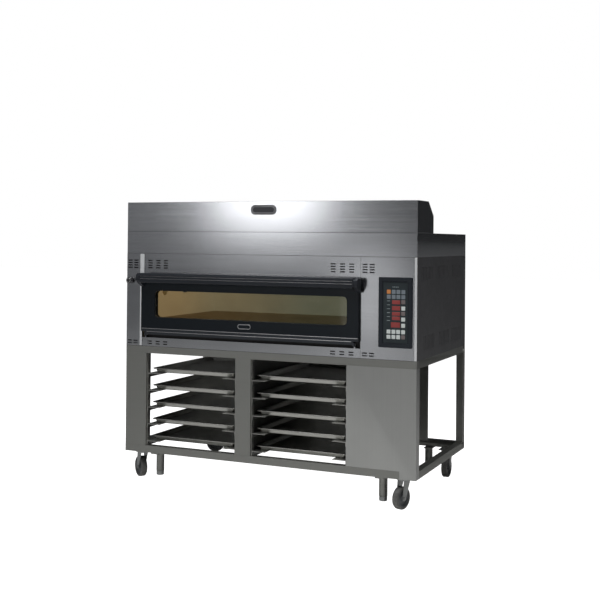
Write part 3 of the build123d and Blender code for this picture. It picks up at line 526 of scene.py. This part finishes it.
def bridgeLoops(work, loops, closed=False):
    pairs = list(zip(loops, loops[1:] + loops[:1])) if closed else list(zip(loops, loops[1:]))
    for first, second in pairs:
        count = len(first)
        for index in range(count):
            after = (index + 1) % count
            work.faces.new((first[index], first[after], second[after], second[index]))


def cappedBar(name, ends):
    # a bar between two end outlines, with both ends closed
    def build(work):
        loops = [ringLoop(work, points) for points in ends]
        bridgeLoops(work, loops)
        for loop in loops:
            work.faces.new(loop)
    return meshFrom(name, build)


def roundedRectangle(centre, halfWidth, halfDepth, radius, height, steps=5):
    points = []
    for corner, (signX, signY) in enumerate(((1, 1), (-1, 1), (-1, -1), (1, -1))):
        for step in range(steps):
            angle = math.radians(90 * corner + 90 * step / (steps - 1))
            points.append((centre[0] + signX * (halfWidth - radius) + radius * math.cos(angle),
                           centre[1] + signY * (halfDepth - radius) + radius * math.sin(angle), height))
    return points


def turnedMesh(name, centre, axis, profile, segments=48, closed=True):
    # profile pairs are (distance along the axis, radius), taken round in order
    along = Vector(axis).normalized()
    across = along.orthogonal().normalized()
    third = along.cross(across)

    def build(work):
        loops = []
        for distance, radius in profile:
            ring = []
            for step in range(segments):
                angle = 2 * math.pi * step / segments
                ring.append(Vector(centre) + along * distance
                            + (across * math.cos(angle) + third * math.sin(angle)) * radius)
            loops.append(ringLoop(work, ring))
        bridgeLoops(work, loops, closed)
        if not closed:
            work.faces.new(loops[0])
            work.faces.new(loops[-1])
    return meshFrom(name, build)


def joinedMesh(name, meshes):
    work = bmesh.new()
    for mesh in meshes:
        work.from_mesh(mesh)
    joined = bpy.data.meshes.new(name)
    work.to_mesh(joined)
    work.free()
    return joined


# --- a repeat of small rounded pads on a front face: keys, displays and tick marks
def makePadTree():
    tree = bpy.data.node_groups.new("padRows", "GeometryNodeTree")
    for label, kind in (("Columns", "NodeSocketInt"), ("Rows", "NodeSocketInt"),
                        ("Column Step", "NodeSocketFloat"), ("Row Step", "NodeSocketFloat"),
                        ("Pad Width", "NodeSocketFloat"),
                        ("Pad Height", "NodeSocketFloat"), ("Corner", "NodeSocketFloat"),
                        ("Rise", "NodeSocketFloat"), ("Centre", "NodeSocketVector"),
                        ("Finish", "NodeSocketMaterial")):
        tree.interface.new_socket(label, in_out="INPUT", socket_type=kind)
    tree.interface.new_socket("Geometry", in_out="OUTPUT", socket_type="NodeSocketGeometry")
    given, result = tree.nodes.new("NodeGroupInput"), tree.nodes.new("NodeGroupOutput")

    def link(source, target):
        tree.links.new(source, target)

    grid = addNode(tree, "GeometryNodeMeshGrid")
    link(given.outputs["Columns"], grid.inputs["Vertices X"])
    link(given.outputs["Rows"], grid.inputs["Vertices Y"])
    for step, count, side in (("Column Step", "Columns", "Size X"), ("Row Step", "Rows", "Size Y")):
        gaps = mathNode(tree, "SUBTRACT", given.outputs[count], 1.0)
        link(mathNode(tree, "MULTIPLY", gaps, given.outputs[step]), grid.inputs[side])
    outline = addNode(tree, "GeometryNodeCurvePrimitiveQuadrilateral")
    link(given.outputs["Pad Width"], outline.inputs["Width"])
    link(given.outputs["Pad Height"], outline.inputs["Height"])
    rounded = addNode(tree, "GeometryNodeFilletCurve", mode="POLY")
    link(outline.outputs[0], rounded.inputs["Curve"])
    link(given.outputs["Corner"], rounded.inputs["Radius"])
    rounded.inputs["Count"].default_value = 3
    filled = addNode(tree, "GeometryNodeFillCurve", mode="NGONS")
    link(rounded.outputs[0], filled.inputs["Curve"])
    raised = addNode(tree, "GeometryNodeExtrudeMesh", mode="FACES")
    link(filled.outputs[0], raised.inputs["Mesh"])
    link(given.outputs["Rise"], raised.inputs["Offset Scale"])
    crowned = addNode(tree, "GeometryNodeScaleElements", domain="FACE")
    link(raised.outputs["Mesh"], crowned.inputs["Geometry"])
    link(raised.outputs["Top"], crowned.inputs["Selection"])
    crowned.inputs["Scale"].default_value = 0.9
    spread = addNode(tree, "GeometryNodeInstanceOnPoints")
    link(grid.outputs["Mesh"], spread.inputs["Points"])
    link(crowned.outputs[0], spread.inputs["Instance"])
    stood = addNode(tree, "GeometryNodeTransform")
    link(spread.outputs[0], stood.inputs["Geometry"])
    link(given.outputs["Centre"], stood.inputs["Translation"])
    stood.inputs["Rotation"].default_value = (math.radians(90), 0, 0)
    real = addNode(tree, "GeometryNodeRealizeInstances")
    link(stood.outputs[0], real.inputs[0])
    painted = addNode(tree, "GeometryNodeSetMaterial")
    link(real.outputs[0], painted.inputs["Geometry"])
    link(given.outputs["Finish"], painted.inputs["Material"])
    link(painted.outputs[0], result.inputs["Geometry"])
    return tree


padTree = makePadTree()
padSockets = {item.name: item.identifier for item in padTree.interface.items_tree if item.in_out == "INPUT"}


def padMesh(finish, **values):
    holder = bpy.data.objects.new("padHolder", bpy.data.meshes.new("padHolder"))
    bpy.context.scene.collection.objects.link(holder)
    repeat = holder.modifiers.new("rows", "NODES")
    repeat.node_group = padTree
    for label, value in values.items():
        repeat[padSockets[label.replace("_", " ")]] = value
    repeat[padSockets["Finish"]] = finish
    mesh = bakedMesh(holder, "pads")
    bpy.data.objects.remove(holder)
    return mesh


# --- sheet-metal skins and frames with softened edges
edgeValues = {"hood_box": 0.0011, "hood_collar": 0.0011, "stand_left_column": 0.0009,
              "stand_centre_post": 0.0009, "stand_right_panel": 0.0009, "stand_frame": 0.0010,
              "control_bezel": 0.0012, "door_front_panel": 0.0012, "door_frame": 0.0010,
              "handle_brackets": 0.0022, "hood_badge": 0.0009}
for nodeName, edgeWidth in edgeValues.items():
    softenNode(nodeName, edgeWidth)
print("edges softened on", len(edgeValues), "nodes")


# --- handle: a grooved bar with a steel bead in each groove, whose lighter colour paints the highlights along the bar
handleValues = {"corner": 0.008, "groove": 0.0022, "beadRadius": 0.0011, "beadDrops": (0.017, 0.030),
                "beadInset": 0.002}


def handlePoints(low, high, values):
    # the bar's section from its top rear corner forwards and down, as (y, z) pairs
    front, back, top, bottom = low.y, high.y, high.z, low.z
    corner, groove = values["corner"], values["groove"]
    points = [(back, top)]
    for step in range(5):
        angle = math.radians(90 * step / 4)
        points.append((front + corner * (1 - math.sin(angle)), top - corner * (1 - math.cos(angle))))
    for drop in values["beadDrops"]:
        level = top - drop
        points += [(front, level + groove), (front + groove, level + groove * 0.6),
                   (front + groove, level - groove * 0.6), (front, level - groove)]
    for step in range(5):
        angle = math.radians(90 * step / 4)
        points.append((front + corner * (1 - math.cos(angle)), bottom + corner * (1 - math.sin(angle))))
    points.append((back, bottom))
    return points


def makeHandle(values):
    low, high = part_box("handle_bar")
    section = handlePoints(low, high, values)
    bar = cappedBar("handleBar", [[(x, y, z) for y, z in section] for x in (low.x, high.x)])
    addPiece("handleBar", bar, "handle_black", "door", "handle_bar", smoothAngle=35)
    radius, inset = values["beadRadius"], values["beadInset"]
    length = high.x - low.x - 2 * inset
    profile = [(0.0, radius * 0.5), (radius * 0.6, radius), (length - radius * 0.6, radius),
               (length, radius * 0.5)]
    beads = []
    for drop in values["beadDrops"]:
        start = (low.x + inset, low.y + values["groove"] * 0.75, high.z - drop)
        beads.append(turnedMesh("handleBead", start, (1, 0, 0), profile, 12, closed=False))
    # the beads' lighter steel is a painted highlight along the dark bar
    addPiece("handleBeads", joinedMesh("handleBeads", beads), "plain_steel", "door", smoothAngle=40)


makeHandle(handleValues)


# --- door: steel beads along the bottom strip, lighter than the door so they paint the highlights of its profile, and the blank plate's rim, lifted from the hinge's axis
doorTrimValues = {"beadRadius": 0.0016, "beadLifts": (0.0305, 0.014), "beadInsets": (0.002, 0.036),
                  "plateLift": 0.0625, "plateSize": (0.076, 0.025), "rimWidth": 0.00245, "rimRise": 0.0008}


def stadiumLoop(centreX, centreZ, width, height, y, steps=9):
    radius = height / 2
    points = []
    for side, turn in ((1, -90), (-1, 90)):
        for step in range(steps):
            angle = math.radians(turn + 180 * step / (steps - 1))
            points.append((centreX + side * (width / 2 - radius) + radius * math.cos(angle), y,
                           centreZ + radius * math.sin(angle)))
    return points


def stadiumRim(name, centreX, centreZ, width, height, y, rimWidth, rise):
    def build(work):
        sizes = ((0, 0), (0.35, -rise), (1.0, -rise), (1.35, 0))
        loops = []
        for inset, back in sizes:
            shrink = 2 * rimWidth * inset
            loop = stadiumLoop(centreX, centreZ, width - shrink, height - shrink, y + back)
            loops.append(ringLoop(work, loop))
        bridgeLoops(work, loops)
    return meshFrom(name, build)


def makeDoorTrim(values):
    frameLow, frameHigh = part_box("door_frame")
    panelLow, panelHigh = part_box("door_front_panel")
    hingeZ = jointOf["door_hinge"]["pos_m"][2]
    radius = values["beadRadius"]
    beads = []
    for lift, inset in zip(values["beadLifts"], values["beadInsets"]):
        start = (frameLow.x + inset, frameLow.y, hingeZ + lift)
        length = frameHigh.x - frameLow.x - 2 * inset
        profile = [(0.0, radius * 0.4), (radius, radius), (length - radius, radius), (length, radius * 0.4)]
        beads.append(turnedMesh("stripBead", start, (1, 0, 0), profile, 12, closed=False))
    # the strip beads' lighter steel is a painted highlight on the strip's profile
    addPiece("doorStripBeads", joinedMesh("doorStripBeads", beads), "plain_steel", "door", smoothAngle=40)
    centreX = (panelLow.x + panelHigh.x) / 2
    rim = stadiumRim("doorPlateRim", centreX, hingeZ + values["plateLift"], *values["plateSize"],
                     panelLow.y, values["rimWidth"], values["rimRise"])
    addPiece("doorPlateRim", rim, "plain_steel", "door", smoothAngle=40)


makeDoorTrim(doorTrimValues)


# --- hood badge: blank plate with a light rim and a fine inner line
badgeValues = {"edgeGap": 0.0015, "rimWidth": 0.0020, "rimRise": 0.0010, "innerGap": 0.0085,
               "innerWidth": 0.0016, "innerRise": 0.0006}


def makeBadge(values):
    low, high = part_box("hood_badge")
    centreX, centreZ = (low.x + high.x) / 2, (low.z + high.z) / 2
    rims = []
    for gap, width, rise in ((values["edgeGap"], values["rimWidth"], values["rimRise"]),
                             (values["innerGap"], values["innerWidth"], values["innerRise"])):
        rims.append(stadiumRim("badgeLine", centreX, centreZ, high.x - low.x - 2 * gap,
                               high.z - low.z - 2 * gap, low.y, width, rise))
    addPiece("badgeRim", joinedMesh("badgeRim", rims), "plain_steel", "oven", smoothAngle=40)


makeBadge(badgeValues)
print("door and badge trim ready")


# --- keypad: inner raised frame, keys, red displays and tick marks, all without lettering
keypadValues = {
    "columns": (0.682, 0.707, 0.731, 0.756), "keySize": 0.0195, "corner": 0.0028, "rise": 0.0009,
    "greyRows": (1.0545, 1.030), "paleRows": (0.861, 0.836), "paleRight": (0.975, 0.922, 0.892),
    "dimRight": (1.006, 0.950), "frameWidth": 0.0026,
    "displays": ((0.699, 0.740, 1.0045, 0.019), (0.699, 0.740, 0.9755, 0.021), (0.699, 0.740, 0.9485, 0.017),
                 (0.699, 0.740, 0.9265, 0.017), (0.694, 0.740, 0.8945, 0.025)),
    "displayCorner": 0.0015, "displayRise": 0.0006, "frameRise": 0.0016, "frameCorner": 0.004,
    "frameGap": 0.0005,
}   # each display is its left edge, right edge, middle height and height
tickRows = ({"Columns": 1, "Rows": 6, "Column_Step": 0.0, "Row_Step": 0.019, "Pad_Width": 0.016,
             "Pad_Height": 0.0028, "Corner": 0.0008, "Rise": 0.0003, "spot": (0.681, 0.9625)},
            {"Columns": 4, "Rows": 1, "Column_Step": 0.0085, "Row_Step": 0.0, "Pad_Width": 0.006,
             "Pad_Height": 0.004, "Corner": 0.001, "Rise": 0.0003, "spot": (0.716, 1.078)})


def singlePad(finish, width, height, corner, rise, centre):
    return padMesh(finish, Columns=1, Rows=1, Column_Step=0.0, Row_Step=0.0, Pad_Width=width,
                   Pad_Height=height, Corner=corner, Rise=rise, Centre=centre)


def keySet(values, face, finishName, columns, rows):
    size, corner, rise = values["keySize"], values["corner"], values["rise"]
    return [singlePad(finishes[finishName], size, size, corner, rise, (x, face, z))
            for x in columns for z in rows]


def makeKeys(face, values):
    columns, right = values["columns"], values["columns"][-1:]
    topGrey, lowGrey = values["greyRows"][:1], values["greyRows"][1:]
    topPale, lowPale = values["paleRows"][:1], values["paleRows"][1:]
    layout = {
        "keysGrey": ("key_grey", ((columns[1:], topGrey), (columns, lowGrey))),
        "keysPale": ("key_pale", ((columns, topPale), (columns[:3], lowPale), (right, values["paleRight"]))),
        "keysDim": ("key_dim", ((right, values["dimRight"] + lowPale),)),
        "keyOrange": ("key_orange", ((columns[:1], topGrey),)),
    }
    for name, (finishName, blocks) in layout.items():
        keys = [key for across, down in blocks for key in keySet(values, face, finishName, across, down)]
        addPiece(name, joinedMesh(name, keys), finishName, "oven")


def makeDisplays(face, values):
    displays = []
    for left, right, level, height in values["displays"]:
        displays.append(singlePad(finishes["display_red"], right - left, height, values["displayCorner"],
                                  values["displayRise"], ((left + right) / 2, face, level)))
    addPiece("displaysRed", joinedMesh("displaysRed", displays), "display_red", "oven")


def makeTicks(face, rows):
    ticks = []
    for row in rows:
        sizes = {label: value for label, value in row.items() if label != "spot"}
        x, z = row["spot"]
        ticks.append(padMesh(finishes["tick_grey"], Centre=(x, face, z), **sizes))
    addPiece("padTicks", joinedMesh("padTicks", ticks), "tick_grey", "oven")


def makeKeypadFrame(low, high, values):
    width, proud = values["frameWidth"], low.y - values["frameRise"]
    centre = ((low.x + high.x) / 2, (low.z + high.z) / 2)
    halfX = (high.x - low.x) / 2 - values["frameGap"]
    halfZ = (high.z - low.z) / 2 - values["frameGap"]

    def build(work):
        loops = []
        for shrink, y in ((0, low.y), (0.0004, proud), (width, proud), (width + 0.0008, low.y)):
            flat = roundedRectangle(centre, halfX - shrink, halfZ - shrink, values["frameCorner"], 0.0)
            loops.append(ringLoop(work, [(x, y, z) for x, z, _ in flat]))
        bridgeLoops(work, loops)
    addPiece("keypadFrame", meshFrom("keypadFrame", build), "bezel_black", "oven", smoothAngle=40)


padLow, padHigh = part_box("keypad_panel")
makeKeys(padLow.y, keypadValues)
makeDisplays(padLow.y, keypadValues)
makeTicks(padLow.y, tickRows)
makeKeypadFrame(padLow, padHigh, keypadValues)
print("keypad ready")


# --- baking trays: pressed pans with rounded corners and a rolled rim
trayValues = {"cornerRadius": 0.022, "rimRoll": 0.0028, "sheet": 0.0015, "rimWidth": 0.012, "slope": 0.006,
              "foot": 0.004, "leastCorner": 0.008}


def makeTray(nodeName, values):
    low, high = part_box(nodeName)
    centre = ((low.x + high.x) / 2, (low.y + high.y) / 2)
    halfX, halfY = (high.x - low.x) / 2, (high.y - low.y) / 2
    rim, slope, sheet, roll = values["rimWidth"], values["slope"], values["sheet"], values["rimRoll"]
    foot, corner, top, base = values["foot"], values["cornerRadius"], high.z, low.z
    wall = rim + slope
    # from the outside of the base up, over the rolled rim and down the inside
    steps = [(wall + foot, base), (wall + foot * 0.3, base + foot * 0.3), (wall, base + foot),
             (rim, top - roll), (rim - 0.002, top - 1.6 * roll), (roll, top - 2 * roll),
             (0.3 * roll, top - 1.7 * roll), (0.0, top - roll), (0.3 * roll, top - 0.3 * roll),
             (roll, top), (rim - 0.001, top - 0.0004), (rim + 0.002, top - roll),
             (wall + sheet, base + foot + sheet), (wall + foot * 0.4 + sheet, base + foot * 0.3 + sheet),
             (wall + foot + sheet, base + sheet)]

    def build(work):
        loops = []
        for inset, height in steps:
            radius = max(corner - inset * 0.4, values["leastCorner"])
            outline = roundedRectangle(centre, halfX - inset, halfY - inset, radius, height, 7)
            loops.append(ringLoop(work, outline))
        bridgeLoops(work, loops)
        work.faces.new(loops[0])
        work.faces.new(loops[-1])
    name = "trayPan" + nodeName.replace("baking_tray", "")
    addPiece(name, meshFrom(name, build), "tray_steel", bodyOf[nodeName], nodeName, smoothAngle=50)


for nodeName in sorted(frame["nodes"]):
    if nodeName.startswith("baking_tray_"):
        makeTray(nodeName, trayValues)
print("trays ready")


# --- casters: turned tyres and hubs, and a bearing race over each fork
casterValues = {"radius": 0.055, "halfWidth": 0.016, "shoulder": 0.005, "tyre": 0.012, "hubHalf": 0.0145,
                "dishHalf": 0.006, "bossRadius": 0.012, "boreRadius": 0.00505, "raceRadius": 0.033,
                "raceBore": 0.020, "raceHeight": 0.0055}


def tyreProfile(values):
    radius, half, shoulder = values["radius"], values["halfWidth"], values["shoulder"]
    inner = radius - values["tyre"]
    points = [(-half, inner)]
    for step in range(5):
        angle = math.radians(90 * step / 4)
        points.append((-half + shoulder * (1 - math.cos(angle)), radius - shoulder * (1 - math.sin(angle))))
    points.append((0.0, radius))
    for step in range(5):
        angle = math.radians(90 - 90 * step / 4)
        points.append((half - shoulder * (1 - math.cos(angle)), radius - shoulder * (1 - math.sin(angle))))
    points.append((half, inner))
    return points


def hubProfile(values):
    outer = values["radius"] - values["tyre"] - 0.0001
    half, dish, boss, bore = (values[key] for key in ("hubHalf", "dishHalf", "bossRadius", "boreRadius"))
    edge = outer - 0.004
    side = [(half, bore), (half, boss - 0.001), (half - 0.001, boss), (dish, boss + 0.002),
            (dish, edge - 0.005), (half - 0.001, edge), (half, edge + 0.001), (half, outer)]
    return [(-along, radius) for along, radius in side] + side[::-1]


def raceProfile(values):
    outer, bore, start = values["raceRadius"], values["raceBore"], 0.0005
    end = start + values["raceHeight"]
    return [(start, bore), (start, outer - 0.0015), (start + 0.0015, outer), (end - 0.0015, outer),
            (end, outer - 0.002), (end, bore)]


def makeWheel(corner, values):
    joint = jointOf["wheel_" + corner + "_spin"]
    body = "wheel_" + corner
    centre, axis = joint["pos_m"], joint["axis"]
    tyre = turnedMesh("wheelTyre_" + corner, centre, axis, tyreProfile(values), 64)
    hub = turnedMesh("wheelHub_" + corner, centre, axis, hubProfile(values), 64)
    addPiece("wheelTyre_" + corner, tyre, "wheel_rubber", body, "caster_wheel_" + corner, smoothAngle=40)
    addPiece("wheelHub_" + corner, hub, "hub_grey", body, smoothAngle=40)
    pinX, pinY = jointOf["caster_" + corner + "_swivel"]["pos_m"][:2]
    crown = (pinX, pinY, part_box("caster_fork_" + corner)[1].z)
    race = turnedMesh("casterRace_" + corner, crown, (0, 0, -1), raceProfile(values), 40)
    addPiece("casterRace_" + corner, race, "caster_zinc", "caster_" + corner, smoothAngle=35)


for cornerName in ("fl", "fr", "rl", "rr"):
    makeWheel(cornerName, casterValues)
print("casters ready")


# --- body trim: polished jamb and corner strips, dark beads that paint the shade in the seams, hinge covers and the dark plate behind the slot
stripValues = {"skin": 0.0006, "fold": 0.0012, "edgeGap": 0.0002, "endGap": 0.003, "jambWidth": 0.014,
               "capWidth": 0.026, "proud": 0.003, "cornerWidth": 0.013, "cornerGap": 0.0003,
               "cornerEndGap": 0.001}
shadowSeamValues = {"radius": 0.0012, "sink": 0.6, "endGap": 0.001, "sideStart": 0.003, "sideEnd": 0.002}
shadeValues = {"behindDoor": 0.0015, "top": 0.313, "bottom": 0.345, "lip": 0.006, "skin": 0.001,
               "endGap": 0.001}
coverValues = {"inset": 0.0195, "width": 0.007, "radius": 0.0117, "rounding": 0.0012}


def foldedStrip(name, lowX, highX, lowZ, highZ, faceY, values):
    # a thin cover with its long edges turned back to the sheet behind it
    fold, skin = values["fold"], values["skin"]
    section = [(lowX, faceY), (lowX, faceY - skin * 0.5), (lowX + fold * 0.3, faceY - skin),
               (highX - fold * 0.3, faceY - skin), (highX, faceY - skin * 0.5), (highX, faceY)]
    return cappedBar(name, [[(x, y, z) for x, y in section] for z in (lowZ, highZ)])


def makeStrips(values):
    pillarLow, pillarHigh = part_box("left_pillar")
    fasciaLow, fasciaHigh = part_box("upper_fascia")
    sideLow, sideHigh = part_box("right_side_panel")
    edge, gap = pillarHigh.x - values["capWidth"], values["edgeGap"]
    bright = fasciaLow.y - values["proud"]
    strips = [foldedStrip("jamb", edge + gap, edge + values["jambWidth"], pillarLow.z + values["endGap"],
                          fasciaLow.z, bright, values),
              foldedStrip("jambCap", edge + gap, pillarHigh.x - gap, fasciaLow.z,
                          fasciaHigh.z - values["endGap"], bright, values),
              foldedStrip("cornerStrip", sideHigh.x - values["cornerWidth"], sideHigh.x - values["cornerGap"],
                          sideLow.z + values["cornerEndGap"], sideHigh.z - values["cornerEndGap"],
                          fasciaLow.y, values)]
    addPiece("brightStrips", joinedMesh("brightStrips", strips), "bright_strip", "oven", smoothAngle=20)


def shadowSeamBead(start, axis, length, radius):
    profile = [(0.0, radius * 0.3), (radius, radius), (length - radius, radius), (length, radius * 0.3)]
    return turnedMesh("seam", start, axis, profile, 10, closed=False)


def makeShadowSeams(values):
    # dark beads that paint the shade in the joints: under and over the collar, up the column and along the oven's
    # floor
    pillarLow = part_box("left_pillar")[0]
    fasciaLow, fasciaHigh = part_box("upper_fascia")
    sideLow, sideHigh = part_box("right_side_panel")
    collarLow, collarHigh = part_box("hood_collar")
    radius, gap = values["radius"], values["endGap"]
    faceY = fasciaLow.y + radius * values["sink"]
    sideStart = fasciaLow.y + values["sideStart"]
    span = collarHigh.x - collarLow.x - 2 * gap
    shadowSeams = [shadowSeamBead((collarLow.x + gap, faceY, level), (1, 0, 0), span, radius)
             for level in (collarLow.z, collarHigh.z)]
    shadowSeams += [shadowSeamBead((collarHigh.x - radius, sideStart, collarLow.z), (0, 1, 0),
                       collarHigh.y - values["sideEnd"] - sideStart, radius),
              shadowSeamBead((fasciaHigh.x, faceY, sideLow.z + gap), (0, 0, 1), sideHigh.z - sideLow.z - 2 * gap,
                       radius * 0.8),
              shadowSeamBead((pillarLow.x + gap, faceY, pillarLow.z), (1, 0, 0), sideHigh.x - pillarLow.x - 2 * gap,
                       radius)]
    addPiece("seamLines", joinedMesh("seamLines", shadowSeams), "seal_rubber", "oven", smoothAngle=40)


def makeSlotShade(values):
    # the dark folded plate behind the gap under the door
    doorLow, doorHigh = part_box("door_frame")
    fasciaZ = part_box("upper_fascia")[0].z
    near = doorHigh.y + values["behindDoor"]
    top, bottom, skin = fasciaZ - values["top"], fasciaZ - values["bottom"], values["skin"]
    far = near + values["lip"]
    section = [(near, bottom), (near, top), (far, top + 2 * skin), (far, top + skin),
               (near + skin, top - skin), (near + skin, bottom)]
    ends = (doorLow.x + values["endGap"], doorHigh.x - values["endGap"])
    shade = cappedBar("slotShade", [[(x, y, z) for y, z in section] for x in ends])
    addPiece("slotShade", shade, "seal_rubber", "oven", smoothAngle=20)


def mergedAtPoles(mesh):
    # closes the points where a turned shape meets its own axis
    work = bmesh.new()
    work.from_mesh(mesh)
    bmesh.ops.remove_doubles(work, verts=work.verts, dist=0.00001)
    bmesh.ops.recalc_face_normals(work, faces=work.faces)
    work.to_mesh(mesh)
    work.free()
    return mesh


def makeHingeCovers(values):
    doorLow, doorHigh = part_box("door_frame")
    hinge = jointOf["door_hinge"]["pos_m"]
    width, radius, rounding = values["width"], values["radius"], values["rounding"]
    profile = [(0.0, 0.0), (0.0, radius - rounding), (rounding, radius), (width - rounding, radius),
               (width, radius - rounding), (width, 0.0)]
    covers = []
    for start in (doorLow.x + values["inset"], doorHigh.x - values["inset"] - width):
        covers.append(mergedAtPoles(turnedMesh("hingeCover", (start, *hinge[1:]), (1, 0, 0), profile, 28)))
    addPiece("hingeCovers", joinedMesh("hingeCovers", covers), "door_metal", "oven", smoothAngle=35)


makeStrips(stripValues)
makeShadowSeams(shadowSeamValues)
makeSlotShade(shadeValues)
makeHingeCovers(coverValues)
print("body trim ready")


# --- damper knob: a bright ring set in its front face
knobValues = {"ring": 0.0115, "wire": 0.0013, "fromLeft": 0.017, "height": 1.076}


def makeKnobRing(values):
    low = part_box("damper")[0]
    wire = values["wire"]
    profile = []
    for step in range(8):
        angle = math.radians(45 * step)
        profile.append((-wire * math.cos(angle), values["ring"] + wire * math.sin(angle)))
    centre = (low.x + values["fromLeft"], low.y, values["height"])
    ring = turnedMesh("knobRing", centre, (0, 1, 0), profile, 40)
    addPiece("knobRing", ring, "plain_steel", "damper", smoothAngle=60)


makeKnobRing(knobValues)
print("knob ready")
